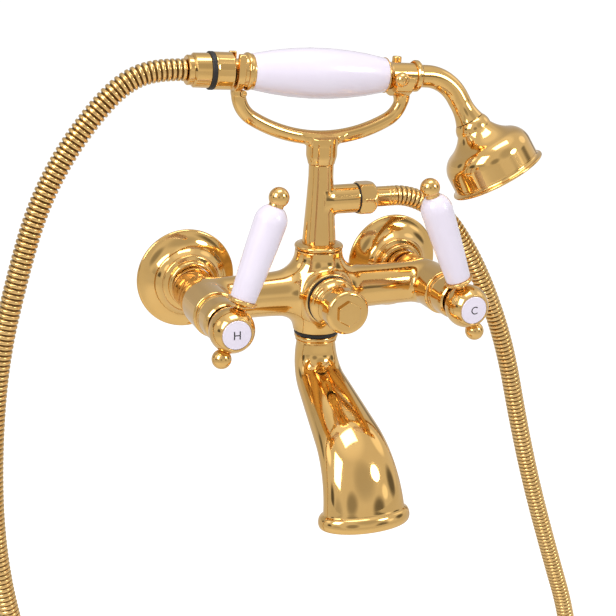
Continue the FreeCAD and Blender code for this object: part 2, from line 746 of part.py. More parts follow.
def cradle_screw():
    """Small screw in the front of the cradle's left end."""
    return cradle_screw_at(cradle_screw_r, -2.0, 1.4)


def handset_pieces():
    """Turned pieces along the handset's axis."""
    axis = handset_axis()
    tail_r = 8.0
    tail_start = hose_nut_start + 3.0
    pieces = {}
    pieces["handset_hose_ferrule"] = turned([
        (hose_end, hose_bore_r), (hose_end, hose_collar_r - 0.6), (hose_end + 0.6, hose_collar_r),
        (hose_nut_start, hose_collar_r), (hose_nut_start, hose_r), (hose_nut_start + 2.9, hose_r),
        (hose_nut_start + 2.9, hose_bore_r)], axis)
    pieces["handset_hose_nut"] = turned([
        (hose_nut_start, hose_r + 0.05), (hose_nut_start, hose_nut_r - 1.2), (hose_nut_start + 1.0, hose_nut_r),
        (seal_start, hose_nut_r + 0.2), (seal_start, tail_r + 0.05), (hose_nut_start + 2.95, tail_r + 0.05),
        (hose_nut_start + 2.95, hose_r + 0.05)], axis)
    pieces["handset_seal_ring"] = turned([
        (seal_start, tail_r + 0.05), (seal_start, seal_r - 0.4), (seal_start + 0.4, seal_r), (nut_start - 0.4, seal_r),
        (nut_start, seal_r - 0.4), (nut_start, tail_r + 0.05)], axis)
    pieces["handset_nut"] = turned([
        (nut_start, tail_r + 0.05), (nut_start, handset_nut_r), (nut_end - 1.6, handset_nut_r),
        (nut_end - 0.3, handset_nut_r - 1.9), (nut_end - 0.3, tail_r + 0.05)], axis)
    pieces["handset_ferrule"] = turned([
        (tail_start, core_bore_r), (tail_start, tail_r), (nut_end - 0.3, tail_r), (nut_end - 0.3, groove_r),
        (groove_end, groove_r), (groove_end, ferrule_r - 1.4), (groove_end + 2.0, ferrule_r - 0.9),
        (groove_end + 3.0, ferrule_r, groove_end + 4.6, ferrule_r - 0.1),
        (grip_left - 0.6, ferrule_r - 0.5, grip_left, porcelain_end_r - 0.1),
        (grip_left, core_bore_r)], axis)
    pieces["handset_core_tube"] = turned([
        (grip_left, core_bore_r), (grip_left, core_r), (grip_right, core_r), (grip_right, core_bore_r)], axis)
    middle = (grip_left + grip_right) / 2 - 3.0
    pieces["handset_grip"] = turned([
        (grip_left, core_r + 0.05), (grip_left, porcelain_end_r), (middle, porcelain_r, grip_right, porcelain_end_r),
        (grip_right, core_r + 0.05)], axis)
    pieces["handset_cap"] = turned([
        (grip_right, core_bore_r), (grip_right, cap_r), (grip_right + 0.7, cap_r),
        (grip_right + 2.2, cap_neck_r + 1.0, cap_cone_end, cap_neck_r), (cap_end, cap_neck_r),
        (cap_end, core_bore_r)], axis)
    return pieces


def head_direction(turn):
    """Direction of the neck after it has turned down by an angle in radians."""
    return AXIS * math.cos(turn) + HEAD_DOWN * math.sin(turn)


def neck_point(turn):
    """Point of the neck's bend after it has turned down by an angle in radians."""
    start = handset_origin + AXIS * neck_straight_to
    centre = start + HEAD_DOWN * neck_bend_r
    return centre + (AXIS * math.sin(turn) - HEAD_DOWN * math.cos(turn)) * neck_bend_r


def bell_frame():
    """Axis of the shower bell, from the neck's end towards the spray plate."""
    turn = math.radians(neck_turn)
    return along(neck_point(turn) + head_direction(turn) * neck_tail, head_direction(turn))


def bent_bar(radius, start_along):
    """Round bar through the neck's bend."""
    turn = math.radians(neck_turn)
    first = handset_origin + AXIS * start_along
    last = neck_point(turn) + head_direction(turn) * neck_tail
    edges = [Part.LineSegment(first, neck_point(0)).toShape(),
             Part.Arc(neck_point(0), neck_point(turn / 2), neck_point(turn)).toShape(),
             Part.LineSegment(neck_point(turn), last).toShape()]
    return Part.Wire(edges).makePipeShell([Part.Wire(Part.makeCircle(radius, first, AXIS))], True, False)


def handset_neck():
    """Collar disc and curved neck that widens to the bell's joint."""
    axis = handset_axis()
    neck = bent_bar(neck_r, cap_end + 1.0)
    neck = neck.fuse(turned([
        (cap_end, 0), (cap_end, neck_flange_r - 0.8), (cap_end + 1.0, neck_flange_r), (flange_end - 1.4, neck_flange_r),
        (flange_end, neck_flange_r - 1.2), (flange_end, 0)], axis))
    turn = math.radians(neck_turn)
    tail = along(neck_point(turn), head_direction(turn))
    neck = neck.fuse(turned([
        (3.0, 0), (3.0, neck_r), (neck_tail - 5.5, neck_r + 0.5, neck_tail, neck_end_r), (neck_tail, 0)], tail))
    return neck.cut(bent_bar(neck_bore_r, cap_end - 1.0))


def shower_bell():
    """Bell of the shower head, hollow and open at the spray plate."""
    wall = bell_wall
    lip = bell_length
    outside = [
        (0.3, neck_end_r + 0.1), (3.0, bell_neck_r, 7.0, bell_neck_r + 0.6), (12.2, 15.6, 17.0, 22.8),
        (21.5, bell_r - 1.9, 29.0, bell_r), (lip - 4.4, bell_r + 0.1), (lip - 2.2, bell_r + 0.5, lip - 1.6, bell_lip_r),
        (lip - 0.6, bell_lip_r + 0.3, lip, bell_lip_r - 0.6)]
    inside = [
        (lip, bell_r - wall), (29.0, bell_r - wall), (22.6, bell_r - wall - 2.2, 18.0, 21.2),
        (13.4, 12.4, 8.0, bell_neck_r - wall), (0.3, neck_bore_r + 0.5)]
    return turned(outside + inside, bell_frame())


def spray_pieces():
    """Gasket and perforated plate in the bell's mouth."""
    frame = bell_frame()
    plate_r = bell_r - bell_wall - 0.05
    start = bell_length - plate_thick - 0.8
    plate = rod(plate_r, start, start + plate_thick, frame)
    holes = [Part.makeCylinder(spray_hole_r, plate_thick + 4, V(
        ring * math.cos(2 * math.pi * i / count), ring * math.sin(2 * math.pi * i / count), start - 2))
        for ring, count in zip(spray_ring_radii, spray_ring_counts) for i in range(count)]
    cutters = Part.makeCompound(holes)
    cutters.Placement = frame
    gasket = tube(plate_r, plate_r - 2.6, start - 1.5, start, frame)
    return {"spray_plate": plate.cut(cutters), "bell_gasket": gasket}


def spout_path(distance):
    """Point and direction on the spout's S-shaped centre line, from its top."""
    first = math.radians(spout_first_turn)
    last = math.radians(spout_last_turn)
    top = V(0, -standoff, column_bottom - spout_seal_thick - spout_ring_height)
    def heading(angle):
        return V(0, -math.sin(angle), -math.cos(angle))
    first_length = spout_first_bend_r * first
    last_length = spout_last_bend_r * last
    if distance < spout_drop:
        return top + heading(0) * distance, heading(0)
    bend_start = top + heading(0) * spout_drop
    distance = distance - spout_drop
    turned_by = min(distance, first_length) / spout_first_bend_r
    point = bend_start + V(0, -spout_first_bend_r * (1 - math.cos(turned_by)), -spout_first_bend_r * math.sin(turned_by))
    rest = distance - first_length
    if rest <= 0:
        return point, heading(turned_by)
    point = point + heading(first) * min(rest, spout_straight)
    rest = rest - spout_straight
    if rest <= 0:
        return point, heading(first)
    angle = first - min(rest, last_length) / spout_last_bend_r
    point = point + V(0, -spout_last_bend_r * (math.cos(angle) - math.cos(first)),
                      -spout_last_bend_r * (math.sin(first) - math.sin(angle)))
    return point + heading(angle) * max(0.0, rest - last_length), heading(angle)


def spout_length():
    """Length of the spout's centre line to its mouth."""
    bends = (spout_first_bend_r * math.radians(spout_first_turn)
             + spout_last_bend_r * math.radians(spout_last_turn))
    return spout_drop + bends + spout_straight + spout_end_straight


def spout_section(distance, inset, swell=0.0):
    """Oval section across the spout, wider than deep towards the mouth."""
    share = max(0.0, distance) / spout_length()
    wider = (spout_mouth_width / 2 - spout_top_r) * share ** spout_width_growth
    deeper = (spout_mouth_depth / 2 - spout_top_r) * share ** spout_depth_growth
    half_width = spout_top_r + wider - inset + swell
    half_depth = spout_top_r - 0.05 + deeper - inset + swell
    point, heading = spout_path(distance)
    oval = Part.Ellipse(V(0, 0, 0), half_width, half_depth).toShape()
    wire = Part.Wire(oval)
    wire.Placement = FreeCAD.Placement(point, FreeCAD.Rotation(V(1, 0, 0), V(0, 0, 0), heading * -1, "XZY"))
    return wire


def spout():
    """Spout casting with its tail, collar seat and rolled lip."""
    length = spout_length()
    steps = [0.0, spout_drop, 12.0, 19.0, 26.0, 33.0, 44.0, 56.0, 68.0, 80.0, 92.0, 104.0, 115.0,
             length - 2.4 * spout_lip_half]
    outer = [spout_section(step, 0.0) for step in steps]
    roll_middle = length - spout_lip_half
    roll = [(-0.98, 0.12), (-0.62, 0.66), (0.0, 1.0), (0.62, 0.66), (1.0, 0.1)]
    outer += [spout_section(roll_middle + at * spout_lip_half, 0.0, spout_lip * swell) for at, swell in roll]
    inner = [spout_section(step, spout_wall) for step in steps + [length, length + 4.0]]
    body = Part.makeLoft(outer, True, False)
    axis = riser_axis()
    top = column_bottom - spout_seal_thick - spout_ring_height
    body = body.fuse(rod(spout_top_r - 1.0, top - 0.02, column_bottom - spout_seal_thick, axis))
    body = body.fuse(rod(spout_tail_r, top, column_bottom + spout_tail_length - 0.5, axis))
    body = body.cut(Part.makeLoft(inner, True, False))
    return body.cut(rod(spout_tail_bore_r, top - 1.0, column_bottom + spout_tail_length, axis))


def spout_fittings():
    """Seal, collar ring and flow straightener of the spout."""
    axis = riser_axis()
    seal_low = column_bottom - spout_seal_thick
    seal = tube(spout_seal_r, spout_tail_r + 0.02, seal_low, column_bottom - running_gap, axis)
    low = seal_low - spout_ring_height
    r = spout_ring_r
    ring = turned([
        (low, spout_top_r - 0.98), (low, r - 1.6), (low + 0.7, r - 0.7, low + 1.5, r - 1.0),
        (low + 1.8, r - 1.3), (seal_low - 1.8, r, seal_low - 0.3, r - 0.9), (seal_low, r - 1.6),
        (seal_low, spout_top_r - 0.98)], axis)
    at = spout_length() - straightener_depth
    plate = Part.Face(spout_section(at, spout_wall + 0.5))
    point, heading = spout_path(at)
    plate = plate.extrude(heading * straightener_thick)
    side_step = straightener_hole_r * 2.6
    frame = along(point - heading, heading)
    rows = [Part.makeCylinder(straightener_hole_r, straightener_thick + 4, V(a * side_step, b * side_step, -1))
            for a in range(-2, 3) for b in range(-3, 4)
            if (b * side_step / 17.0) ** 2 + (a * side_step / 9.0) ** 2 < 1.0]
    cutters = Part.makeCompound(rows)
    cutters.Placement = frame
    return {"spout_seal": seal, "spout_ring": ring, "flow_straightener": plate.cut(cutters)}


def hose_line():
    """Straight runs and tangent arcs of the hose, as (length, function) pieces."""
    points = [V(outlet_ferrule_end, -standoff, outlet_height)]
    points.append(points[0] + V(hose_start_run, 0, 0))
    points += [V(x, -standoff, z) for x, z in hose_route]
    points.append(handset_origin + AXIS * (hose_end - hose_end_run))
    points.append(handset_origin + AXIS * hose_end)
    pieces = []
    radii = []
    here = points[0]
    for before, corner, after in zip(points, points[1:], points[2:]):
        run_in = corner - before
        run_out = after - corner
        turn = run_in.getAngle(run_out)
        radius = 0.45 * min(run_in.Length, run_out.Length) / math.tan(turn / 2)
        reach = radius * math.tan(turn / 2)
        a = run_in / run_in.Length
        b = run_out / run_out.Length
        start = corner - a * reach
        side = (b - a * math.cos(turn)) / math.sin(turn)
        pieces.append(("line", here, a, (start - here).Length, None, None))
        pieces.append(("arc", start, a, radius * turn, side, radius))
        radii.append(radius)
        here = corner + b * reach
    last = points[-1] - here
    pieces.append(("line", here, last / last.Length, last.Length, None, None))
    return pieces, radii


def on_line(pieces, distance):
    """Point and direction at a distance along the hose."""
    for kind, start, direction, length, side, radius in pieces:
        if distance <= length or kind == "line" and (start, direction) == (pieces[-1][1], pieces[-1][2]):
            if kind == "line":
                return start + direction * distance, direction
            angle = distance / radius
            point = start + direction * (radius * math.sin(angle)) + side * (radius * (1 - math.cos(angle)))
            return point, direction * math.cos(angle) + side * math.sin(angle)
        distance -= length
    return None


def ring_at(pieces, distance, radius):
    """Circle across the hose whose X axis stays steady, towards the wall."""
    point, direction = on_line(pieces, distance)
    circle = Part.Circle(point, direction, radius)
    circle.XAxis = OUT * -1
    return Part.Wire(circle.toShape())


def shower_hose():
    """Ribbed hose with its bore: a ruled loft through four circles for each rib."""
    pieces, radii = hose_line()
    total = sum(piece[3] for piece in pieces)
    pitch = total / hose_ribs
    stations = [(0.0, hose_valley_r)]
    for rib in range(hose_ribs):
        base = rib * pitch
        stations += [(base + 0.16 * pitch, hose_valley_r), (base + 0.34 * pitch, hose_r),
                     (base + 0.78 * pitch, hose_r), (base + 0.96 * pitch, hose_valley_r)]
    stations.append((total, hose_valley_r))
    outer = Part.makeLoft([ring_at(pieces, s, r) for s, r in stations], True, True)
    bore = Part.makeLoft([ring_at(pieces, s, hose_bore_r) for s, _ in stations[::4] + [stations[-1]]], True, True)
    print("hose length", round(total, 1), "least bend radius", round(min(radii), 1),
          "radii", [round(r) for r in radii])
    return outer.cut(bore)


def build():
    """Make every piece and write its STEP file."""
    os.makedirs("parts", exist_ok=True)
    save("mixer_body", mixer_body())
    save("union_washers", Part.makeCompound([union_washer(side) for side in (-1, 1)]))
    for side in (-1, 1):
        save(side_name(side) + "_wall_flange", wall_flange(side))
        save(side_name(side) + "_union", union(side))
        water = water_name(side)
        save(water + "_headwork", headwork(side))
        save(water + "_fixed_disc", ceramic_disc(side, False))
        save(water + "_moving_disc", ceramic_disc(side, True))
        save(water + "_spindle", spindle(side))
        save(water + "_bonnet", bonnet(side))
        save(water + "_hub", hub(side))
        save(water + "_hub_screw", hub_screw(side))
        save(water + "_index_disc", index_disc(side))
        save(water + "_lever_stem", lever_stem(side))
        save(water + "_lever_grip", lever_grip(side))
        save(water + "_tip_ball", tip_ball(side))
        save(water + "_lower_ball", lower_ball(side))
    save("riser_ring", riser_ring())
    save("riser_pipe", riser_pipe())
    save("cradle_fork", cradle_fork())
    save("crutch_tips", crutch_tips())
    save("cradle_screw", cradle_screw())
    save("handset_neck", handset_neck())
    save("shower_bell", shower_bell())
    save("spout", spout())
    save("shower_hose", shower_hose())
    for group in (diverter_pieces(), outlet_pieces(), handset_pieces(), spray_pieces(), spout_fittings()):
        for name, shape in group.items():
            save(name, shape)


build()
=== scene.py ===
"""Wall-hung bath shower mixer in gold-plated brass, with porcelain levers and a hand shower.

Sizes are in millimetres in the part's own frame: X runs along the wall with the hot side negative,
Y points into the wall and Z points up. Meshes are turned to metres as they are made.
"""

import logging
from dataclasses import dataclass
from enum import Enum
from math import acos, atan2, ceil, cos, degrees, pi, radians, sin, sqrt, tan
from typing import Any, Callable, Sequence

import bmesh
import bpy
import numpy as np
from mathutils import Matrix


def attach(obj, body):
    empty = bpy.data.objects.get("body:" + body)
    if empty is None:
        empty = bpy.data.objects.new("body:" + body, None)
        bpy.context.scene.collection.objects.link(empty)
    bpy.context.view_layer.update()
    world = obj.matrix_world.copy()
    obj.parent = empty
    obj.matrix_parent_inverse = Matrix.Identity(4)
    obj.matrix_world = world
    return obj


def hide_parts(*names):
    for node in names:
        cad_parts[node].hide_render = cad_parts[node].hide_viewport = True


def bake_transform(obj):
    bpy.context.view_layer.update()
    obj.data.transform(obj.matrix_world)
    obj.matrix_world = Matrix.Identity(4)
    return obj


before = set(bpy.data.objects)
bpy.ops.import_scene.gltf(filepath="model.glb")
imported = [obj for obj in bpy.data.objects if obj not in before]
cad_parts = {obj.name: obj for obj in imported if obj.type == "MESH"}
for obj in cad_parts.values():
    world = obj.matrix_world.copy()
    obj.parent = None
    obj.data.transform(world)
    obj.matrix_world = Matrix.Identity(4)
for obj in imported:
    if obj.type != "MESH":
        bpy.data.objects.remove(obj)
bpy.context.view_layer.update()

MM = 0.001
TINY = 1e-6                          # lengths in millimetres below this count as nothing
BANDS_PER_UNIT = 3.18                # of a Wave Texture at scale 1
UP = np.array((0.0, 0.0, 1.0))
OUT = np.array((0.0, -1.0, 0.0))
RIGHT = np.array((1.0, 0.0, 0.0))
LOG = logging.getLogger("mixer")

Array = np.ndarray
Field = Callable[[Array], Array]
Tree = bpy.types.NodeTree
Node = bpy.types.Node
Material = bpy.types.Material
Piece = bpy.types.Object

# Settings that several nodes share.
MULTIPLY = {"operation": "MULTIPLY"}
EASED = {"interpolation_type": "SMOOTHSTEP"}
COLOURS = {"data_type": "RGBA"}
NUMBERS = {"data_type": "FLOAT"}


def unit(vector: Array) -> Array:
    """Return a vector scaled to length one."""
    return np.asarray(vector, float) / np.linalg.norm(vector)


def linear(colour: str) -> tuple[float, float, float, float]:
    """Turn an sRGB hex colour into linear light.

    Args:
        colour: Six hex digits after a hash sign.

    Returns:
        Red, green, blue and an alpha of one.
    """
    parts = [int(colour[i:i + 2], 16) / 255 for i in (1, 3, 5)]
    red, green, blue = [c / 12.92 if c <= 0.04045 else ((c + 0.055) / 1.055) ** 2.4 for c in parts]
    return red, green, blue, 1.0


def add(tree: Tree, kind: str, settings: dict[str, Any] | None = None,
        inputs: dict[Any, Any] | None = None) -> Node:
    """Add one node with its settings, values and links.

    Args:
        tree: Node tree that gets the node.
        kind: Blender's name of the node's type.
        settings: Values of the node's own properties.
        inputs: Value, or (node, output) pair, for each input by name or number.

    Returns:
        The new node.
    """
    node = tree.nodes.new(kind)
    for name, value in (settings or {}).items():
        setattr(node, name, value)
    for socket, value in (inputs or {}).items():
        if isinstance(value, tuple) and len(value) == 2 and isinstance(value[0], Node):
            tree.links.new(value[0].outputs[value[1]], node.inputs[socket])
        else:
            node.inputs[socket].default_value = value
    return node


@dataclass(frozen=True)
class GoldPlate:
    """Gold plate over polished brass: a warm mirror that wavers a little where it was cast.

    The plate gives deep yellow mid-tones, brown where it mirrors something dark, and soft smears
    of hand-polishing that only show as a change of sharpness.
    """

    name: str
    colour: str = "#E9C07C"
    worn_colour: str = "#DFB169"
    sharp: float = 0.045
    dull: float = 0.12
    patch_mm: float = 24.0
    smear_mm: float = 6.0
    smear_range: tuple[float, float] = (0.3, 0.75)
    wave_mm: float = 12.0
    wave_depth_mm: float = 0.006
    grain_mm: float = 0.9            # real polishing grain is finer, drawn coarse enough to show
    grain_depth_mm: float = 0.0005

    def make(self) -> Material:
        """Build the plate's material."""
        material, tree, shader, where = blank(self.name, {"Metallic": 1.0})
        patch = noise(tree, where, self.patch_mm, 3.0)
        tone = add(tree, "ShaderNodeMix", COLOURS,
                   {0: (patch, 0), 6: linear(self.colour), 7: linear(self.worn_colour)})
        smear = noise(tree, where, self.smear_mm, 5.0, 0.6)
        gloss = add(tree, "ShaderNodeMapRange", None,
                    {"Value": (smear, 0), "From Min": self.smear_range[0], "From Max": self.smear_range[1],
                     "To Min": self.sharp, "To Max": self.dull})
        wave = noise(tree, where, self.wave_mm, 1.0)
        grain = noise(tree, where, self.grain_mm, 2.0)
        low = add(tree, "ShaderNodeBump", None, {"Height": (wave, 0), "Distance": self.wave_depth_mm * MM})
        high = add(tree, "ShaderNodeBump", None, {"Height": (grain, 0), "Normal": (low, 0),
                                                  "Distance": self.grain_depth_mm * MM})
        join(tree, shader, {"Base Color": (tone, 2), "Roughness": (gloss, 0), "Normal": (high, 0)})
        return material


@dataclass(frozen=True)
class GroovedPlate(GoldPlate):
    """Gold plate on wound hose strip: bright crests, with painted shade darkening the grooves."""

    # Brown-black painted into the grooves as the shade that falls in them.
    groove_shade_colour: str = "#3E280C"
    groove_rough: float = 0.5

    def make(self) -> Material:
        """Build the plate's material and paint shade into its grooves."""
        material = super().make()
        tree = material.node_tree
        shader = next(node for node in tree.nodes if node.type == "BSDF_PRINCIPLED")
        groove = add(tree, "ShaderNodeAttribute", {"attribute_name": "groove"})
        plate = shader.inputs["Base Color"].links[0].from_socket
        gloss = shader.inputs["Roughness"].links[0].from_socket
        # The groove mask mixes the painted shade colour over the plate.
        dark = linear(self.groove_shade_colour)
        tone = add(tree, "ShaderNodeMix", COLOURS, {0: (groove, 2), 7: dark})
        rough = add(tree, "ShaderNodeMix", NUMBERS, {0: (groove, 2), 3: self.groove_rough})
        tree.links.new(plate, tone.inputs[6])
        tree.links.new(gloss, rough.inputs[2])
        join(tree, shader, {"Base Color": (tone, 2), "Roughness": (rough, 0)})
        return material


@dataclass(frozen=True)
class Glaze:
    """Glazed porcelain: a clear hard glaze over a faintly lilac white body.

    The glaze gives small sharp highlights over an even white, with a slow ripple from the firing.
    """

    name: str
    colour: str = "#F0E8F6"
    shade: str = "#EAE0F1"
    cloud_mm: float = 14.0
    body_mm: float = 3.0
    rough_from: float = 0.28
    rough_to: float = 0.42
    ripple_mm: float = 9.0
    ripple_depth_mm: float = 0.01

    def make(self) -> Material:
        """Build the glaze's material."""
        material, tree, shader, where = blank(self.name, {
            "IOR": 1.5, "Coat Weight": 1.0, "Coat Roughness": 0.03, "Coat IOR": 1.5})
        clouds = noise(tree, where, self.cloud_mm, 3.0)
        tone = add(tree, "ShaderNodeMix", COLOURS,
                   {0: (clouds, 0), 6: linear(self.colour), 7: linear(self.shade)})
        body = noise(tree, where, self.body_mm, 2.0)
        gloss = add(tree, "ShaderNodeMapRange", None,
                    {"Value": (body, 0), "To Min": self.rough_from, "To Max": self.rough_to})
        ripple = noise(tree, where, self.ripple_mm, 1.0)
        bump = add(tree, "ShaderNodeBump", None,
                   {"Height": (ripple, 0), "Distance": self.ripple_depth_mm * MM})
        join(tree, shader, {"Base Color": (tone, 2), "Roughness": (gloss, 0), "Normal": (bump, 0)})
        return material


@dataclass(frozen=True)
class Plain:
    """A plain solid material with its own mottling and surface grain."""

    name: str
    colour: str
    shade: str
    rough_from: float
    rough_to: float
    metallic: float = 0.0
    ior: float = 1.5
    mottle_mm: float = 4.0
    grain_mm: float = 0.6
    grain_depth_mm: float = 0.004
    rings_mm: float = 0.0            # width of a tool mark, half their spacing, if it has any
    ring_depth_mm: float = 0.004

    def make(self) -> Material:
        """Build the material."""
        fixed: dict[str, float] = {"Metallic": self.metallic}
        if not self.metallic:
            fixed["IOR"] = self.ior
        material, tree, shader, where = blank(self.name, fixed)
        mottle = noise(tree, where, self.mottle_mm, 4.0)
        tone = add(tree, "ShaderNodeMix", COLOURS,
                   {0: (mottle, 0), 6: linear(self.colour), 7: linear(self.shade)})
        gloss = add(tree, "ShaderNodeMapRange", None,
                    {"Value": (mottle, 0), "To Min": self.rough_from, "To Max": self.rough_to})
        grain = noise(tree, where, self.grain_mm, 3.0)
        bump = add(tree, "ShaderNodeBump", None,
                   {"Height": (grain, 0), "Distance": self.grain_depth_mm * MM})
        if self.rings_mm:
            rings = add(tree, "ShaderNodeTexWave", {"bands_direction": "Y"},
                        {"Vector": (where, 3), "Scale": 1 / (self.rings_mm * 2 * MM) / BANDS_PER_UNIT,
                         "Distortion": 1.5})
            bump = add(tree, "ShaderNodeBump", None, {"Height": (rings, 1), "Normal": (bump, 0),
                                                      "Distance": self.ring_depth_mm * MM})
        join(tree, shader, {"Base Color": (tone, 2), "Roughness": (gloss, 0), "Normal": (bump, 0)})
        return material


def blank(name: str, fixed: dict[str, float]) -> tuple[Material, Tree, Node, Node]:
    """Start a material with its shader, output and object coordinates.

    Args:
        name: Name of the material.
        fixed: Values that are the same all over the surface, set on the shader's own sockets.

    Returns:
        The material, its node tree, its shader and its texture coordinates.
    """
    material = bpy.data.materials.new(name)
    tree = emptied(material)
    shader = add(tree, "ShaderNodeBsdfPrincipled", None, dict(fixed))
    add(tree, "ShaderNodeOutputMaterial", None, {"Surface": (shader, 0)})
    where = add(tree, "ShaderNodeTexCoord")
    return material, tree, shader, where


def noise(tree: Tree, where: Node, size_mm: float, detail: float, rough: float = 0.5) -> Node:
    """Add a noise pattern whose features are about a given size, on object coordinates."""
    return add(tree, "ShaderNodeTexNoise", None,
               {"Vector": (where, 3), "Scale": 1 / (size_mm * MM), "Detail": detail, "Roughness": rough})


def join(tree: Tree, shader: Node, links: dict[str, tuple]) -> None:
    """Link patterns to a shader's sockets."""
    for socket, (node, output) in links.items():
        tree.links.new(node.outputs[output], shader.inputs[socket])


def link(name: str, data: bpy.types.ID) -> Piece:
    """Put a data block into the scene as an object."""
    item = bpy.data.objects.new(name, data)
    bpy.context.scene.collection.objects.link(item)
    return item


def evaluated(item: Piece) -> bpy.types.Mesh:
    """Return what an object's modifiers make of it, as a new plain mesh."""
    graph = bpy.context.evaluated_depsgraph_get()
    return bpy.data.meshes.new_from_object(item.evaluated_get(graph))


def emptied(holder: Material | bpy.types.World) -> Tree:
    """Switch a material or a world to nodes, and return its emptied tree."""
    holder.use_nodes = True
    holder.node_tree.nodes.clear()
    return holder.node_tree


def start_group(name: str, inputs: dict[str, str],
                fed: bool = False) -> tuple[Tree, Node, dict[str, str]]:
    """Start a Geometry Nodes tree with named inputs.

    Args:
        name: Name of the tree.
        inputs: Kind of each input, Float or Int, by its name.
        fed: Whether the tree works on the geometry that it is given.

    Returns:
        The tree, its group input, and the identifier of each input by its name.
    """
    tree = bpy.data.node_groups.new(name, "GeometryNodeTree")
    face = tree.interface
    if fed:
        face.new_socket("Geometry", in_out="INPUT", socket_type="NodeSocketGeometry")
    face.new_socket("Geometry", in_out="OUTPUT", socket_type="NodeSocketGeometry")
    ids = {label: face.new_socket(label, in_out="INPUT", socket_type="NodeSocket" + kind).identifier
           for label, kind in inputs.items()}
    return tree, add(tree, "NodeGroupInput"), ids


def end_group(tree: Tree, geometry: Node, material: Material) -> None:
    """Realize a tree's instances, give them their finish and send them out."""
    real = add(tree, "GeometryNodeRealizeInstances", None, {"Geometry": (geometry, 0)})
    dressed = add(tree, "GeometryNodeSetMaterial", None, {"Geometry": (real, 0), "Material": material})
    add(tree, "NodeGroupOutput", None, {"Geometry": (dressed, 0)})


def grown(item: Piece, tree: Tree, ids: dict[str, str],
          values: dict[str, float]) -> bpy.types.Mesh:
    """Run a Geometry Nodes tree on an object that only carries it.

    Args:
        item: The object, which is removed afterwards.
        tree: The tree.
        ids: Identifier of each input by its name.
        values: Value of each input by its name.

    Returns:
        What the tree makes, as a plain mesh.
    """
    modifier = item.modifiers.new(tree.name, "NODES")
    modifier.node_group = tree
    for label, value in values.items():
        modifier[ids[label]] = value
    mesh = evaluated(item)
    bpy.data.objects.remove(item)
    return mesh


class Finish(Enum):
    """Finishes of the mixer's pieces."""

    TURNED = GoldPlate("turned_gold_plate")
    CAST = GoldPlate("cast_gold_plate", wave_mm=9.0, wave_depth_mm=0.016)
    # Hose plate, with painted shade in the grooves between its ribs.
    HOSE = GroovedPlate("hose_gold_plate_groove_shade", colour="#EFC98A", worn_colour="#E0B36C", sharp=0.14, dull=0.24,
                        wave_mm=5.0, wave_depth_mm=0.004)
    # Bare machined brass: paler and greener than the plate, with fine rings from the lathe.
    RAW_BRASS = Plain("machined_brass", "#D9BE7C", "#C3A35E", 0.22, 0.34, metallic=1.0, rings_mm=0.8)
    # Glazed porcelain: even lilac white with small sharp highlights.
    PORCELAIN = Glaze("glazed_porcelain")
    # Lapped alumina: chalk white and almost matt.
    CERAMIC = Plain("lapped_alumina", "#ECE9E0", "#E2DED2", 0.30, 0.42, ior=1.76, grain_depth_mm=0.001)
    # EPDM rubber: black, moulded, with a soft low sheen.
    RUBBER = Plain("black_epdm_rubber", "#171412", "#221D1A", 0.45, 0.6, grain_mm=0.5)
    # Red fibre washer: pressed vulcanised paper, matt and faintly speckled.
    FIBRE = Plain("vulcanised_fibre", "#8C3F2D", "#6F3024", 0.6, 0.8, mottle_mm=1.2, grain_mm=0.4)
    # Moulded acetal: off-white, waxy, with a slight bloom.
    ACETAL = Plain("moulded_acetal", "#E9E7E0", "#DCDAD2", 0.32, 0.46, ior=1.48)
    # Stainless steel screws: bright grey with turning marks.
    STEEL = Plain("stainless_steel", "#C8C8C6", "#AFAFAD", 0.2, 0.32, metallic=1.0, rings_mm=0.5)
    # Fired enamel marks: glossy near-black.
    ENAMEL = Plain("black_fired_enamel", "#1B171C", "#282229", 0.18, 0.26, grain_depth_mm=0.001)


class Workshop:
    """Makes each finish once and hands it out, and puts pieces into the scene."""

    def __init__(self) -> None:
        """Start with no finish made."""
        self.made: dict[Finish, Material] = {}

    def material(self, finish: Finish) -> Material:
        """Return a finish's material, made on first use."""
        if finish not in self.made:
            self.made[finish] = finish.value.make()
        return self.made[finish]

    def dress(self, finish: Finish, *nodes: str) -> None:
        """Give carried-over nodes a finish.

        Args:
            finish: Finish for the nodes.
            nodes: Names of the nodes.
        """
        for name in nodes:
            mesh = bpy.data.objects[name].data
            mesh.materials.clear()
            mesh.materials.append(self.material(finish))
            LOG.info("%s keeps its solid, finish %s", name, finish.value.name)

    def place(self, name: str, shell: "Shell", finish: Finish, body: str, *nodes: str,
              crease: float = 34.0) -> None:
        """Put a finished piece into the scene.

        Args:
            name: Name of the piece.
            shell: Its surface in millimetres.
            finish: Its finish, which also gives its material slot.
            body: Body that it rides on.
            nodes: Nodes that it stands for.
            crease: Edges sharper than this many degrees stay crisp.
        """
        piece = shell.to_object(name, crease)
        piece.data.materials.append(self.material(finish))
        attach(piece, body)
        if nodes:
            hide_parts(*nodes)
        faces = len(piece.data.polygons)
        LOG.info("%s: %d faces, finish %s, rides %s", name, faces, finish.value.name, body)


@dataclass(frozen=True)
class Axis:
    """A straight axis with a steady frame about it."""

    origin: Array
    direction: Array
    across: Array

    @staticmethod
    def along(origin: Sequence[float], direction: Sequence[float],
              across: Sequence[float] | None = None) -> "Axis":
        """Make an axis from a point and a direction.

        Args:
            origin: Point on the axis.
            direction: Where the axis goes.
            across: Where the angle zero about the axis points, roughly.

        Returns:
            The axis.
        """
        d = unit(direction)
        if across is None:
            across = RIGHT if abs(d[0]) < 0.8 else UP
        side = np.asarray(across, float)
        side = unit(side - d * float(np.dot(side, d)))
        return Axis(np.asarray(origin, float), d, side)

    def at(self, distance: float) -> Array:
        """Return the point at a distance along the axis."""
        return self.origin + self.direction * distance

    def place(self, local: Array) -> Array:
        """Carry local points, whose Z runs along the axis, to their place."""
        third = np.cross(self.direction, self.across)
        return (self.origin + np.outer(local[:, 0], self.across) + np.outer(local[:, 1], third)
                + np.outer(local[:, 2], self.direction))


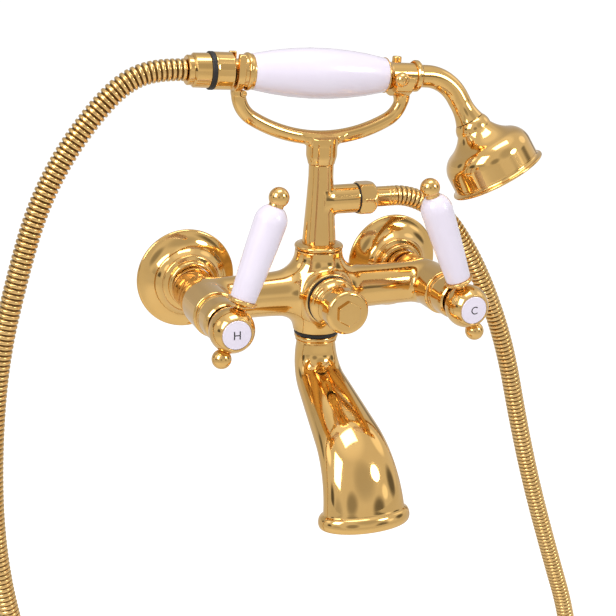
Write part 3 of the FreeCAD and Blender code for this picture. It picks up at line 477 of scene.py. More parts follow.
@dataclass
class Shell:
    """A closed surface in millimetres."""

    vertices: Array
    faces: list[tuple[int, ...]]
    normals: Array | None = None

    @staticmethod
    def joined(shells: Sequence["Shell"]) -> "Shell":
        """Put several shells into one."""
        vertices, faces, start = [], [], 0
        for shell in shells:
            vertices.append(shell.vertices)
            faces += [tuple(i + start for i in face) for face in shell.faces]
            start += len(shell.vertices)
        return Shell(np.concatenate(vertices), faces)

    def volume(self) -> float:
        """Return the signed volume, positive where the faces point outwards."""
        total = 0.0
        for face in self.faces:
            for i in range(1, len(face) - 1):
                a, b, c = self.vertices[face[0]], self.vertices[face[i]], self.vertices[face[i + 1]]
                total += float(np.dot(a, np.cross(b, c)))
        return total / 6

    def outward(self) -> "Shell":
        """Return the shell with its faces pointing outwards."""
        if self.volume() < 0:
            self.faces = [tuple(reversed(face)) for face in self.faces]
        return self

    def to_object(self, name: str, crease: float) -> Piece:
        """Make a smooth-shaded mesh object in metres, at the origin.

        Args:
            name: Name of the object.
            crease: Edges sharper than this many degrees stay crisp.

        Returns:
            The object.
        """
        mesh = bpy.data.meshes.new(name)
        mesh.from_pydata((self.vertices * MM).tolist(), [], self.faces)
        mesh.update()
        mesh.shade_smooth()
        if self.normals is None:
            mesh.set_sharp_from_angle(angle=radians(crease))
        else:
            mesh.normals_split_custom_set_from_vertices(self.normals.tolist())
        return link(name, mesh)


class Profile:
    """Closed outline of a turned piece, with its sharp corners eased as polishing eases them.

    Items are (along, radius) points, or four numbers for an arc through a middle point.
    """

    smooth_turn = radians(14)   # a corner that turns less isn't eased
    sharpest_turn = 2.6              # radians; a sharper corner is eased as this one
    eased_share = 0.42               # how much of a run the easing at one end may take
    support = 0.22                   # distance of the ring that holds a straight run's end crisp
    arc_step = 4.0                   # degrees between samples on an arc
    merge = 1e-4                     # samples nearer than this are one

    def __init__(self, items: Sequence[Sequence[float]], ease: float = 0.28) -> None:
        """Take the outline's items and the radius that its corners are eased to."""
        self.items = [tuple(float(v) for v in item) for item in items]
        self.ease = ease

    def runs(self) -> list[tuple]:
        """Return the outline's runs: each a start, an end, and a circle if it is an arc."""
        found = []
        here = np.array(self.items[0][-2:])
        for item in self.items[1:] + [self.items[0][-2:]]:
            end = np.array(item[-2:])
            if np.linalg.norm(end - here) > TINY:
                circle = self.circle(here, np.array(item[:2]), end) if len(item) == 4 else None
                found.append((here, end, circle))
            here = end
        return [run for run in found if run[0][1] > TINY or run[1][1] > TINY]

    @staticmethod
    def circle(a: Array, b: Array, c: Array) -> tuple[Array, float, float, float] | None:
        """Find the arc through three points.

        Args:
            a: Start of the arc.
            b: A point on it.
            c: Its end.

        Returns:
            Centre, radius, start angle and signed sweep, or None where the points are in line.
        """
        twice = 2 * ((b[0] - a[0]) * (c[1] - a[1]) - (b[1] - a[1]) * (c[0] - a[0]))
        if abs(twice) < 1e-7:
            return None
        ab, ac = b - a, c - a
        sb, sc = float(ab @ ab), float(ac @ ac)
        centre = a + np.array((sb * ac[1] - sc * ab[1], sc * ab[0] - sb * ac[0])) / twice
        radius = float(np.linalg.norm(a - centre))
        first, mid, last = [atan2(p[1] - centre[1], p[0] - centre[0]) for p in (a, b, c)]
        sweep = (last - first) % (2 * pi)
        if (mid - first) % (2 * pi) > sweep:
            sweep -= 2 * pi
        return centre, radius, first, sweep

    @staticmethod
    def length(run: tuple) -> float:
        """Return a run's length."""
        return abs(run[2][3]) * run[2][1] if run[2] else float(np.linalg.norm(run[1] - run[0]))

    @staticmethod
    def point(run: tuple, distance: float) -> tuple[Array, Array]:
        """Return the point and the direction at a distance along a run."""
        if run[2] is None:
            way = unit(run[1] - run[0])
            return run[0] + way * distance, way
        centre, radius, first, sweep = run[2]
        sign = 1.0 if sweep > 0 else -1.0
        angle = first + sign * distance / radius
        return (centre + radius * np.array((cos(angle), sin(angle))),
                sign * np.array((-sin(angle), cos(angle))))

    def points(self) -> tuple[Array, bool]:
        """Sample the eased outline.

        Returns:
            The (along, radius) samples, and whether they close into a ring off the axis.
        """
        runs = self.runs()
        closed = bool(np.linalg.norm(runs[-1][1] - runs[0][0]) < TINY)
        count = len(runs)
        cut = [[0.0, 0.0] for _ in runs]
        corners = [i for i in range(count) if closed or i < count - 1]
        for i in corners:
            j = (i + 1) % count
            way_in = self.point(runs[i], self.length(runs[i]))[1]
            way_out = self.point(runs[j], 0.0)[1]
            turn = acos(max(-1.0, min(1.0, float(way_in @ way_out))))
            if turn < self.smooth_turn or runs[i][1][1] < TINY:
                continue
            wanted = self.ease * tan(min(turn, self.sharpest_turn) / 2)
            shorter = min(self.length(runs[i]), self.length(runs[j]))
            cut[i][1] = cut[j][0] = min(wanted, self.eased_share * shorter)
        samples: list[Array] = []
        for i, run in enumerate(runs):
            start, end = cut[i][0], self.length(run) - cut[i][1]
            samples += [self.point(run, s)[0] for s in self.stations(run, start, end)]
            if i in corners and cut[i][1] > 0:
                first, last = samples[-1], self.point(runs[(i + 1) % count], cut[(i + 1) % count][0])[0]
                for t in (0.2, 0.4, 0.6, 0.8):
                    samples.append(first * (1 - t) ** 2 + run[1] * 2 * t * (1 - t) + last * t * t)
        kept = [samples[0]]
        for sample in samples[1:]:
            if np.linalg.norm(sample - kept[-1]) > self.merge:
                kept.append(sample)
        if closed and np.linalg.norm(kept[0] - kept[-1]) < self.merge:
            kept.pop()
        return np.array(kept), closed

    @staticmethod
    def stations(run: tuple, start: float, end: float) -> list[float]:
        """Choose where to sample a run: often on an arc, and near the ends of a straight."""
        if run[2] is None:
            support = Profile.support
            if end - start > 4 * support:
                return [start, start + support, end - support, end]
            return [start, end]
        turn = abs(end - start) / run[2][1]
        steps = max(3, min(40, ceil(degrees(turn) / Profile.arc_step)))
        return [start + (end - start) * i / steps for i in range(steps + 1)]


def rings_to_shell(rings: Array, poles: tuple[bool, bool], closed: bool) -> Shell:
    """Join rings of points into one surface.

    Args:
        rings: Ring, angle and coordinate, in that order.
        poles: Whether the first and the last ring are a single point.
        closed: Whether the last ring joins the first.

    Returns:
        The surface, with its faces pointing outwards.
    """
    count, sides = rings.shape[:2]
    starts, vertices = [], []
    total = 0
    for i in range(count):
        single = (i == 0 and poles[0]) or (i == count - 1 and poles[1])
        starts.append((total, single))
        vertices.append(rings[i][:1] if single else rings[i])
        total += 1 if single else sides
    faces: list[tuple[int, ...]] = []
    for i in range(count if closed else count - 1):
        (a, a_single), (b, b_single) = starts[i], starts[(i + 1) % count]
        for k in range(sides):
            n = (k + 1) % sides
            if a_single:
                faces.append((a, b + k, b + n))
            elif b_single:
                faces.append((a + k, b, a + n))
            else:
                faces.append((a + k, b + k, b + n, a + n))
    return Shell(np.concatenate(vertices), faces).outward()


def turned(items: Sequence[Sequence[float]], axis: Axis, sides: int = 96, ease: float = 0.28,
           shape: Callable[[Array, Array, Array], Array] | None = None) -> Shell:
    """Turn an outline about an axis.

    Args:
        items: Outline as Profile takes it.
        axis: Axis that it turns about.
        sides: Steps round the axis.
        ease: Radius that sharp corners are eased to.
        shape: Changes the radius by (along, radius, angle), for flats and flutes.

    Returns:
        The surface.
    """
    points, closed = Profile(items, ease).points()
    angles = np.arange(sides) * 2 * pi / sides
    along = np.repeat(points[:, 0][:, None], sides, 1)
    radius = np.repeat(points[:, 1][:, None], sides, 1)
    if shape is not None:
        radius = shape(along, radius, np.repeat(angles[None, :], len(points), 0))
    local = np.stack((radius * np.cos(angles), radius * np.sin(angles), along), axis=2)
    placed = axis.place(local.reshape(-1, 3)).reshape(local.shape)
    poles = (not closed and points[0][1] < TINY, not closed and points[-1][1] < TINY)
    return rings_to_shell(placed, poles, closed)


def swept(rows: Sequence[tuple[Axis, float, float]], sides: int) -> Shell:
    """Join oval rings along a path into one closed surface.

    Args:
        rows: Place, half width and half depth of each ring.
        sides: Steps round each ring.

    Returns:
        The surface.
    """
    angles = np.arange(sides) * 2 * pi / sides
    flat = np.zeros(sides)
    rings = [place.place(np.stack((wide * np.cos(angles), deep * np.sin(angles), flat), axis=1))
             for place, wide, deep in rows]
    return rings_to_shell(np.array(rings), (False, False), True)


def off_flat(angle: Array, step: float) -> Array:
    """Return the angle from the middle of the nearest of several equal flats."""
    return (angle + step / 2) % step - step / 2


def soft_min(a: Array, b: Array, blend: float) -> Array:
    """Join two fields with a fillet about as wide as the blend."""
    h = np.maximum(blend - np.abs(a - b), 0.0) / blend
    return np.minimum(a, b) - h * h * blend / 4


def soft_max(a: Array, b: Array, blend: float) -> Array:
    """Trim one field by another with an eased edge."""
    return -soft_min(-a, -b, blend)


def round_bar(points: Array, axis: Axis, radius: Array | float, start: float, end: float,
              ease: float = 1.0) -> Array:
    """Field of a round bar between two stations of an axis; its radius may vary along it."""
    rel = points - axis.origin
    along = rel @ axis.direction
    out = np.linalg.norm(rel - np.outer(along, axis.direction), axis=1)
    ends = np.abs(along - (start + end) / 2) - (end - start) / 2
    return soft_max(out - radius, ends, ease)


@dataclass(frozen=True)
class Casting:
    """Fits a fine even mesh to a field, so that joined forms flow into each other as cast metal does."""

    voxel_mm: float
    rounds: int = 9
    relax: float = 0.4               # how far each round moves a vertex towards its neighbours' mean
    merge_mm: float = 0.002
    probe_mm: float = 0.01           # half the distance over which the field's slope is read
    least_slope: float = 0.05        # squared; keeps a step finite where two forms meet

    def cast(self, node: str, field: Field) -> Shell:
        """Mesh a field.

        Args:
            node: Node whose solid gives the starting surface.
            field: Distance-like field, zero on the wanted surface and negative inside.

        Returns:
            The surface, with exact normals.
        """
        vertices, faces = self.start(node)
        edges = np.unique(np.sort(np.concatenate(
            [faces[:, [i, (i + 1) % 4]] for i in range(4)]), axis=1), axis=0)
        degree = np.bincount(edges.ravel(), minlength=len(vertices)).astype(float)[:, None]
        for turn in range(self.rounds):
            vertices = self.pull(vertices, field, 2)
            if turn < self.rounds - 2:
                total = np.zeros_like(vertices)
                np.add.at(total, edges[:, 0], vertices[edges[:, 1]])
                np.add.at(total, edges[:, 1], vertices[edges[:, 0]])
                vertices = vertices * (1 - self.relax) + total / degree * self.relax
        vertices = self.pull(vertices, field, 3)
        slope = self.slope(vertices, field)
        normals = slope / np.maximum(np.linalg.norm(slope, axis=1, keepdims=True), 1e-9)
        return Shell(vertices, [tuple(face) for face in faces.tolist()], normals)

    def start(self, node: str) -> tuple[Array, Array]:
        """Remesh a node's solid into even quads, in millimetres."""
        mesh = bpy.data.objects[node].data.copy()
        work = bmesh.new()
        work.from_mesh(mesh)
        bmesh.ops.remove_doubles(work, verts=work.verts, dist=self.merge_mm * MM)
        work.to_mesh(mesh)
        work.free()
        rough = link("rough_" + node, mesh)
        remesh = rough.modifiers.new("even", "REMESH")
        remesh.mode = "VOXEL"
        remesh.voxel_size = self.voxel_mm * MM * 1.0
        fine = evaluated(rough)
        vertices = np.empty(len(fine.vertices) * 3)
        fine.vertices.foreach_get("co", vertices)
        faces = np.array([list(face.vertices) for face in fine.polygons])
        bpy.data.objects.remove(rough)
        bpy.data.meshes.remove(fine)
        return vertices.reshape(-1, 3) / MM, faces

    def slope(self, vertices: Array, field: Field) -> Array:
        """Return the field's gradient at each vertex."""
        step = self.probe_mm
        parts = []
        for i in range(3):
            shift = np.zeros(3)
            shift[i] = step
            parts.append((field(vertices + shift) - field(vertices - shift)) / (2 * step))
        return np.stack(parts, axis=1)

    def pull(self, vertices: Array, field: Field, steps: int) -> Array:
        """Move vertices onto the field's surface by a few clamped steps."""
        for _ in range(steps):
            slope = self.slope(vertices, field)
            size = np.maximum((slope ** 2).sum(1), self.least_slope)
            move = -slope * (field(vertices) / size)[:, None]
            reach = np.maximum(np.linalg.norm(move, axis=1, keepdims=True), 1e-9)
            vertices = vertices + move * np.minimum(1.0, self.voxel_mm / reach)
        return vertices


class Side(Enum):
    """Left is hot and right is cold, seen from the front."""

    HOT = -1
    COLD = 1

    @property
    def water(self) -> str:
        """Name of the water on this side."""
        return "hot" if self is Side.HOT else "cold"

    @property
    def hand(self) -> str:
        """Name of the side."""
        return "left" if self is Side.HOT else "right"


@dataclass(frozen=True)
class Layout:
    """Places that the sub-assemblies share."""

    inlet_spacing: float = 150.0
    valve_spacing: float = 155.0
    body_drop: float = 1.2
    standoff: float = 47.0
    column_top: float = 27.0
    column_bottom: float = -27.5
    seat_gap: float = 0.3
    handset_height: float = 137.4
    handset_tilt: float = 2.6

    def inlet(self, side: Side) -> Axis:
        """Axis of a supply pipe, pointing into the room."""
        return Axis.along((side.value * self.inlet_spacing / 2, 0, 0), OUT)

    def valve(self, side: Side) -> Axis:
        """Axis of a valve, pointing into the room."""
        return Axis.along((side.value * self.valve_spacing / 2, 0, -self.body_drop), OUT)

    def body(self, direction: Array) -> Axis:
        """Axis through the middle of the body."""
        return Axis.along((0, -self.standoff, -self.body_drop), direction)

    def riser(self) -> Axis:
        """Vertical axis of riser and spout."""
        return Axis.along((0, -self.standoff, 0), UP)

    def outlet(self, height: float) -> Axis:
        """Axis of the riser's side outlet."""
        return Axis.along((0, -self.standoff, height), RIGHT)

    @property
    def tilted(self) -> tuple[Array, Array]:
        """Directions along the handset and up from it."""
        t = radians(self.handset_tilt)
        return np.array((cos(t), 0, -sin(t))), np.array((sin(t), 0, cos(t)))

    def handset(self) -> Axis:
        """Axis of the handset at rest in its cradle, from the hose end to the head."""
        return Axis.along((0, -self.standoff, self.handset_height), self.tilted[0])


@dataclass
class WallMounting:
    """Wall flange, eccentric union and washer on each supply pipe."""

    layout: Layout
    flange_r: float = 32.9
    wall: float = 1.3
    ring_r: float = 18.6
    neck_r: float = 15.4
    dish: float = 11.6
    depth: float = 18.0
    thread_r: float = 10.48
    thread_pitch: float = 1.814
    thread_depth: float = 1.0
    collar_r: float = 12.2
    collar_end: float = 22.0
    bore_r: float = 7.0
    in_wall: float = 18.0
    tail: float = 13.0

    def flange(self, side: Side) -> Shell:
        """Dished rosette with a stepped ring round the union."""
        hole = self.collar_r + self.layout.seat_gap
        r, ring, neck, w, dish = self.flange_r, self.ring_r, self.neck_r, self.wall, self.dish
        return turned([
            (0, r - 0.9), (0.3, r - 0.2, 0.9, r), (1.9, r - 0.2, 2.6, r - 1.3), (5.0, r - 8.5, dish, ring),
            (12.9, ring + 0.1, 13.9, ring - 0.9), (14.3, neck + 0.2), (15.2, neck),
            (17.4, neck - 0.5, self.depth, neck - 1.6), (self.depth, hole), (self.depth - 5.0, hole),
            (dish - w, ring - 2.2 * w), (4.2, r - 9.4, w, r - 2.6), (0, r - 2.6)],
            self.layout.inlet(side), 144)

    def union(self, side: Side) -> Shell:
        """Eccentric union: a pipe thread in the wall, a collar, and a tail in the body."""
        pitch, deep = self.thread_pitch, self.thread_depth

        def thread(along: Array, radius: Array, angle: Array) -> Array:
            """Cut the pipe thread into the part that goes into the wall."""
            phase = (along / pitch - angle / (2 * pi)) % 1.0
            fade = np.clip((along + self.in_wall) / 1.5, 0, 1) * np.clip(-along / 1.5, 0, 1)
            groove = np.clip(np.abs(phase - 0.5) * 2.6 - 0.25, 0, 1)
            return np.where(radius > self.thread_r - 0.1, radius - deep * groove * fade, radius)

        start, bore = -self.in_wall, self.bore_r - 0.5
        stations = [(start, bore), (start, self.thread_r)]
        steps = int(self.in_wall / pitch * 8)
        stations += [(start + self.in_wall * i / steps, self.thread_r) for i in range(1, steps)]
        stations += [(1.0, self.thread_r), (1.0, self.collar_r), (self.collar_end, self.collar_r),
                     (self.collar_end, self.bore_r - 1.5), (self.collar_end - 6, self.bore_r - 1.5),
                     (self.collar_end - 6, bore)]
        outer = turned(stations, self.layout.inlet(side), 72, shape=thread)
        end = self.collar_end + self.tail
        disc, bore = self.collar_end - 2.5, self.bore_r - 1.5
        inner = turned([(disc, bore), (disc, self.collar_r), (self.collar_end, self.collar_r),
                        (self.collar_end, self.thread_r - 0.4), (end, self.thread_r - 0.4), (end, bore)],
                       self.layout.valve(side), 72)
        return Shell.joined([outer, inner])

    def build(self, shop: Workshop) -> None:
        """Build and dress both sides."""
        for side in Side:
            shop.place(side.hand + "_rosette", self.flange(side), Finish.TURNED, "fixture",
                       side.hand + "_wall_flange")
            shop.place(side.hand + "_eccentric", self.union(side), Finish.TURNED, "fixture",
                       side.hand + "_union")
        shop.dress(Finish.FIBRE, "union_washers")


@dataclass
class BodyCasting:
    """Body casting: two arms, a waisted column, two valve barrels and the diverter's boss."""

    layout: Layout
    arm_r: float = 13.8
    arm_swell: float = 4.9
    arm_swell_reach: float = 20.0
    column_r: float = 15.2
    column_swell: float = 4.2
    column_swell_reach: float = 13.0
    belly_blend: float = 11.0
    boss_blend: float = 3.5
    barrel_blend: float = 4.0
    edge_blend: float = 0.8
    boss_r: float = 17.0
    boss_end: float = 70.0
    barrel_r: float = 14.6
    barrel_inlet_r: float = 12.6
    barrel_start: float = 23.7
    barrel_end: float = 77.0
    swell_start: float = 33.7
    swell_end: float = 54.0
    bore_r: float = 9.02
    waterway_r: float = 6.0
    union_bore_r: float = 10.48
    tail_bore_r: float = 8.95
    riser_bore_r: float = 8.6
    cartridge_r: float = 10.8

    def field(self, points: Array) -> Array:
        """Return the casting's field at each point."""
        layout = self.layout
        across, upward, front = layout.body(RIGHT), layout.body(UP), layout.body(OUT)
        x = points[:, 0]
        z = points[:, 2] + layout.body_drop
        reach = layout.valve_spacing / 2
        arm_r = self.arm_r + self.arm_swell * np.exp(-(x / self.arm_swell_reach) ** 2)
        arms = round_bar(points, across, arm_r, -reach, reach, 2.0)
        column_r = self.column_r + self.column_swell * np.exp(-(z / self.column_swell_reach) ** 2)
        low = layout.column_bottom + layout.body_drop
        high = layout.column_top + layout.body_drop
        column = round_bar(points, upward, column_r, low, high, self.edge_blend)
        body = soft_min(arms, column, self.belly_blend)
        body = soft_max(body, np.maximum(low - z, z - high), self.edge_blend)
        boss = round_bar(points, front, self.boss_r, 0.0, self.boss_end - layout.standoff, 1.2)
        body = soft_min(body, boss, self.boss_blend)
        for side in Side:
            valve = layout.valve(side)
            s = -points[:, 1]
            swell = np.clip((s - self.swell_start) / (self.swell_end - self.swell_start), 0, 1)
            wider = (self.barrel_r - self.barrel_inlet_r) * swell ** 2 * (3 - 2 * swell)
            barrel_r = self.barrel_inlet_r + wider
            barrel = round_bar(points, valve, barrel_r, self.barrel_start, self.barrel_end, 1.5)
            body = soft_min(body, barrel, self.barrel_blend)
        return self.bored(points, body)

    def bored(self, points: Array, body: Array) -> Array:
        """Cut the waterways and sockets."""
        layout = self.layout
        low = layout.column_bottom + layout.body_drop
        high = layout.column_top + layout.body_drop
        reach = layout.valve_spacing / 2
        bores = [(layout.body(RIGHT), self.waterway_r, -reach, reach),
                 (layout.body(UP), self.waterway_r, low - 1, high + 1),
                 (layout.body(UP), self.tail_bore_r, low - 3, low + 14.5),
                 (layout.body(UP), self.riser_bore_r, high - 10, high + 3),
                 (layout.body(OUT), self.cartridge_r, self.boss_end - layout.standoff - 24.0, 26.0)]
        for side in Side:
            valve = layout.valve(side)
            bores += [(valve, self.union_bore_r, 20.0, 35.5), (valve, self.waterway_r, 30.0, 60.0),
                      (valve, self.bore_r, 54.0, 80.0)]
        for axis, radius, start, end in bores:
            body = soft_max(body, -round_bar(points, axis, radius, start, end, 0.1), 0.25)
        return body

    def build(self, shop: Workshop) -> None:
        """Build and dress the casting."""
        shell = Casting(0.8).cast("mixer_body", self.field)
        shop.place("body_casting", shell, Finish.CAST, "fixture", "mixer_body")


@dataclass
class Valve:
    """Headwork, bonnet, and the lever handle that turns it, on one side."""

    layout: Layout
    side: Side
    barrel_end: float = 77.0
    bonnet_r: float = 13.4
    nose_r: float = 12.3
    bonnet_end: float = 94.6
    bonnet_wall: float = 0.9
    headwork_nose_r: float = 7.6
    hub_centre: float = 105.4
    hub_r: float = 13.7
    hub_front: float = 9.6
    hub_rear: float = 8.8
    index_r: float = 8.8
    index_thick: float = 1.6
    dome: float = 0.6
    dome_edge: float = 0.2
    screw_r: float = 3.0
    spindle_r: float = 3.6
    lean: float = 20.8
    tip_back: float = 2.5
    neck_r: float = 3.2
    stub_r: float = 2.35
    stub_start: float = 7.1
    cup_r: float = 8.9
    cup_start: float = 15.6
    cup_thick: float = 3.6
    grip_start_r: float = 7.7
    grip_r: float = 9.8
    grip_length: float = 56.8
    grip_bore_r: float = 2.6
    tip_r: float = 6.05
    tip_centre: float = 81.8
    lower_r: float = 5.9
    lower_centre: float = 18.2
    mark_height: float = 7.2
    mark_thick: float = 0.06
    mark_sink: float = 0.02

    @property
    def valve(self) -> Axis:
        """Axis of the valve."""
        return self.layout.valve(self.side)

    @property
    def lever(self) -> Axis:
        """Axis along the lever, from the hub's centre."""
        lean, back = radians(self.lean), radians(self.tip_back)
        inward = -self.side.value * sin(lean) * cos(back)
        way = (inward, sin(back), cos(lean) * cos(back))
        return Axis.along(self.valve.at(self.hub_centre), way, OUT)

    def bonnet(self) -> Shell:
        """Tapered cover over the headwork."""
        inner = self.headwork_nose_r + 0.02
        low, high = self.barrel_end, self.bonnet_end
        return turned([
            (low, inner), (low, self.bonnet_r), (low + 1.6, self.bonnet_r),
            (low + 3.2, self.bonnet_r - 0.1, low + 4.0, self.bonnet_r - 0.5),
            (high - 4.0, self.nose_r + 0.5), (high - 1.0, self.nose_r),
            (high, self.nose_r - self.bonnet_wall), (high, inner)], self.valve)

    def hub(self) -> Shell:
        """Rounded hub with the index disc's recess in front and a bore for the spindle."""
        rear, front = self.hub_centre - self.hub_rear, self.hub_centre + self.hub_front
        rear_r = sqrt(self.hub_r ** 2 - self.hub_rear ** 2)
        front_r = sqrt(self.hub_r ** 2 - self.hub_front ** 2)
        floor = front - self.index_thick
        seat = floor - 3.5
        return turned([
            (rear, self.spindle_r), (rear, rear_r), (self.hub_centre, self.hub_r, front, front_r),
            (front, self.index_r + 0.1), (floor, self.index_r + 0.1), (floor, self.screw_r + 0.1),
            (seat, self.screw_r + 0.1), (seat, 1.7), (seat - 1.0, 1.7), (seat - 1.0, self.spindle_r)],
            self.valve, 120)

    def index_disc(self) -> Shell:
        """Domed porcelain disc let into the hub's front."""
        front, r = self.hub_centre + self.hub_front, self.index_r
        return turned([(front - self.index_thick, 0), (front - self.index_thick, r), (front - 0.3, r),
                       (front + 0.1, r - 0.3, front + self.dome_edge, r - 1.0), (front + self.dome, 1.0),
                       (front + self.dome, 0)], self.valve, 96)

    def mark(self) -> Shell:
        """Plain letter for the water, fired onto the disc."""
        text = bpy.data.curves.new("letter", "FONT")
        text.body = "H" if self.side is Side.HOT else "C"
        text.size = self.mark_height
        text.align_x = "CENTER"
        text.align_y = "CENTER"
        text.resolution_u = 6
        text.extrude = self.mark_thick
        letter = link("letter", text)
        mesh = evaluated(letter)
        flat = np.array([tuple(v.co) for v in mesh.vertices])
        faces = [tuple(f.vertices) for f in mesh.polygons]
        bpy.data.objects.remove(letter)
        bpy.data.meshes.remove(mesh)
        middle = (flat[:, :2].min(0) + flat[:, :2].max(0)) / 2
        x, y = (flat[:, 0] - middle[0]), (flat[:, 1] - middle[1])
        fall = (self.dome - self.dome_edge) / (self.index_r - 2.0)
        dome = self.dome - np.maximum(np.hypot(x, y) - 1.0, 0) * fall
        out = self.valve.at(self.hub_centre + self.hub_front)
        vertices = np.stack((out[0] + x, out[1] - dome - self.mark_sink - flat[:, 2], out[2] + y), axis=1)
        return Shell(vertices, faces).outward()

    def stem(self) -> Shell:
        """Stem through the porcelain, with the cup that carries it."""
        cup_end = self.cup_start + self.cup_thick
        top = self.tip_centre - self.tip_r + 2.5
        n, c, s, stub, foot = self.neck_r, self.cup_r, self.cup_start, self.stub_r, self.stub_start
        return turned([
            (foot, 0), (foot, stub), (self.hub_r - 0.2, stub), (self.hub_r - 0.2, n + 1.0),
            (self.hub_r + 0.6, n - 0.1, s, n + 1.6), (s + 0.9, c - 2.6), (s + 1.6, c - 0.4, s + 2.6, c),
            (cup_end - 0.4, c + 0.1, cup_end, c - 0.8), (cup_end, self.grip_bore_r - 0.1),
            (top, self.grip_bore_r - 0.1), (top, 0)], self.lever, 80)

    def grip(self) -> Shell:
        """Porcelain lever, slimmer at the cup and rounded at the tip."""
        start, length = self.cup_start + self.cup_thick, self.grip_length
        end = start + length
        return turned([
            (start, self.grip_bore_r), (start, self.grip_start_r),
            (start + length * 0.44, self.grip_start_r * 0.32 + self.grip_r * 0.68,
             start + length * 0.83, self.grip_r),
            (start + length * 0.95, self.grip_r - 1.9, end, self.grip_r - 4.6), (end, self.grip_bore_r)],
            self.lever, 96, ease=0.7)

    def tip(self) -> Shell:
        """Ball on a short collar at the lever's end."""
        grip_end = self.cup_start + self.cup_thick + self.grip_length
        collar_r = self.grip_r - 5.4
        meet = self.tip_centre - sqrt(self.tip_r ** 2 - collar_r ** 2)
        bore = self.grip_bore_r - 0.1
        inside = self.tip_centre - self.tip_r + 2.5
        return turned([
            (grip_end, bore), (grip_end, collar_r), (meet, collar_r),
            (self.tip_centre, self.tip_r, self.tip_centre + self.tip_r, 0), (inside, 0), (inside, bore)],
            self.lever, 80)

    def lower_ball(self) -> Shell:
        """Ball finial under the hub."""
        axis = self.lever
        down = Axis.along(axis.origin, axis.direction * -1, OUT)
        stub, foot, centre, r = self.stub_r, self.stub_start, self.lower_centre, self.lower_r
        seat = self.hub_r + 0.02
        meet = (centre ** 2 + seat ** 2 - r ** 2) / (2 * centre)
        meet_r = sqrt(max(0.0, seat ** 2 - meet ** 2))
        inner = sqrt(seat ** 2 - stub ** 2)
        return turned([(foot, 0), (foot, stub), (inner, stub), (meet, meet_r),
                       (centre, r, centre + r, 0)], down, 72, ease=0.1)

    def build(self, shop: Workshop) -> None:
        """Build and dress the valve and its handle."""
        water = self.side.water
        lever = water + "_lever"
        shop.place(water + "_valve_cover", self.bonnet(), Finish.TURNED, "fixture", water + "_bonnet")
        shop.place(water + "_handle_hub", self.hub(), Finish.TURNED, lever, water + "_hub")
        shop.place(water + "_disc", self.index_disc(), Finish.PORCELAIN, lever, water + "_index_disc")
        shop.place(water + "_mark", self.mark(), Finish.ENAMEL, lever)
        shop.place(water + "_handle_stem", self.stem(), Finish.TURNED, lever, water + "_lever_stem")
        shop.place(water + "_handle_porcelain", self.grip(), Finish.PORCELAIN, lever, water + "_lever_grip")
        shop.place(water + "_handle_tip", self.tip(), Finish.TURNED, lever, water + "_tip_ball")
        shop.place(water + "_handle_finial", self.lower_ball(), Finish.TURNED, lever, water + "_lower_ball")
        shop.dress(Finish.RAW_BRASS, water + "_headwork", water + "_spindle")
        shop.dress(Finish.CERAMIC, water + "_fixed_disc", water + "_moving_disc")
        shop.dress(Finish.STEEL, water + "_hub_screw")


@dataclass
class Diverter:
    """Knob with a hexagonal boss, black seal, spindle and cartridge."""

    layout: Layout
    boss_end: float = 70.0
    seal_r: float = 15.9
    seal_thick: float = 1.3
    cartridge_r: float = 10.8
    start: float = 71.6
    end: float = 98.2
    knob_r: float = 14.0
    waist_r: float = 10.6
    skirt_r: float = 15.2
    flats: float = 14.0
    hexagon_height: float = 2.4
    eased_corner: float = 1.12       # reach of the eased corners, over half the width across flats
    spindle_r: float = 3.4

    @property
    def axis(self) -> Axis:
        """Axis of the knob, pointing into the room."""
        return Axis.along((0, 0, -self.layout.body_drop), OUT)

    def knob(self) -> Shell:
        """Waisted knob."""
        a, b = self.start, self.end
        shaft = a + 14.0
        r, skirt = self.knob_r, self.skirt_r
        return turned([
            (a, self.spindle_r), (a, skirt), (a + 2.4, skirt + 0.2, a + 3.6, skirt - 1.0),
            (a + 10.0, self.waist_r, a + 15.5, self.waist_r + 0.6), (a + 16.5, r - 0.5), (a + 17.6, r),
            (b - 3.0, r), (b - 0.8, r - 0.9, b, r - 3.0), (b, 0), (shaft, 0), (shaft, self.spindle_r)],
            self.axis, 120)

    def hexagon(self) -> Shell:
        """Low hexagonal boss with eased corners and a chamfered face."""
        flat = self.flats / 2
        top, corner = self.end + self.hexagon_height, flat * self.eased_corner

        def six(along: Array, radius: Array, angle: Array) -> Array:
            """Hold the outline to six flats with eased corners."""
            limit = np.minimum(flat / np.cos(off_flat(angle, pi / 3)), corner)
            return np.where(radius > flat / 2, np.minimum(limit - (corner - radius), limit), radius)

        return turned([(self.end - 1.0, 0), (self.end - 1.0, corner), (top - 0.5, corner),
                       (top, corner - 0.7), (top, 0)], self.axis, 144, ease=0.15, shape=six)

    def seal(self) -> Shell:
        """Black seal between the knob's skirt and the boss."""
        a, b = self.boss_end, self.boss_end + self.seal_thick
        return turned([(a, self.cartridge_r - 2.0), (a, self.seal_r), (b, self.seal_r),
                       (b, self.cartridge_r - 2.0)], self.axis)

    def build(self, shop: Workshop) -> None:
        """Build and dress the diverter."""
        shop.place("diverter_handle", self.knob(), Finish.TURNED, "diverter", "diverter_knob")
        shop.place("diverter_hexagon", self.hexagon(), Finish.TURNED, "diverter", "diverter_knob",
                   crease=24.0)
        shop.place("diverter_gasket", self.seal(), Finish.RUBBER, "fixture", "diverter_seal")
        shop.dress(Finish.RAW_BRASS, "diverter_cartridge", "diverter_spindle")


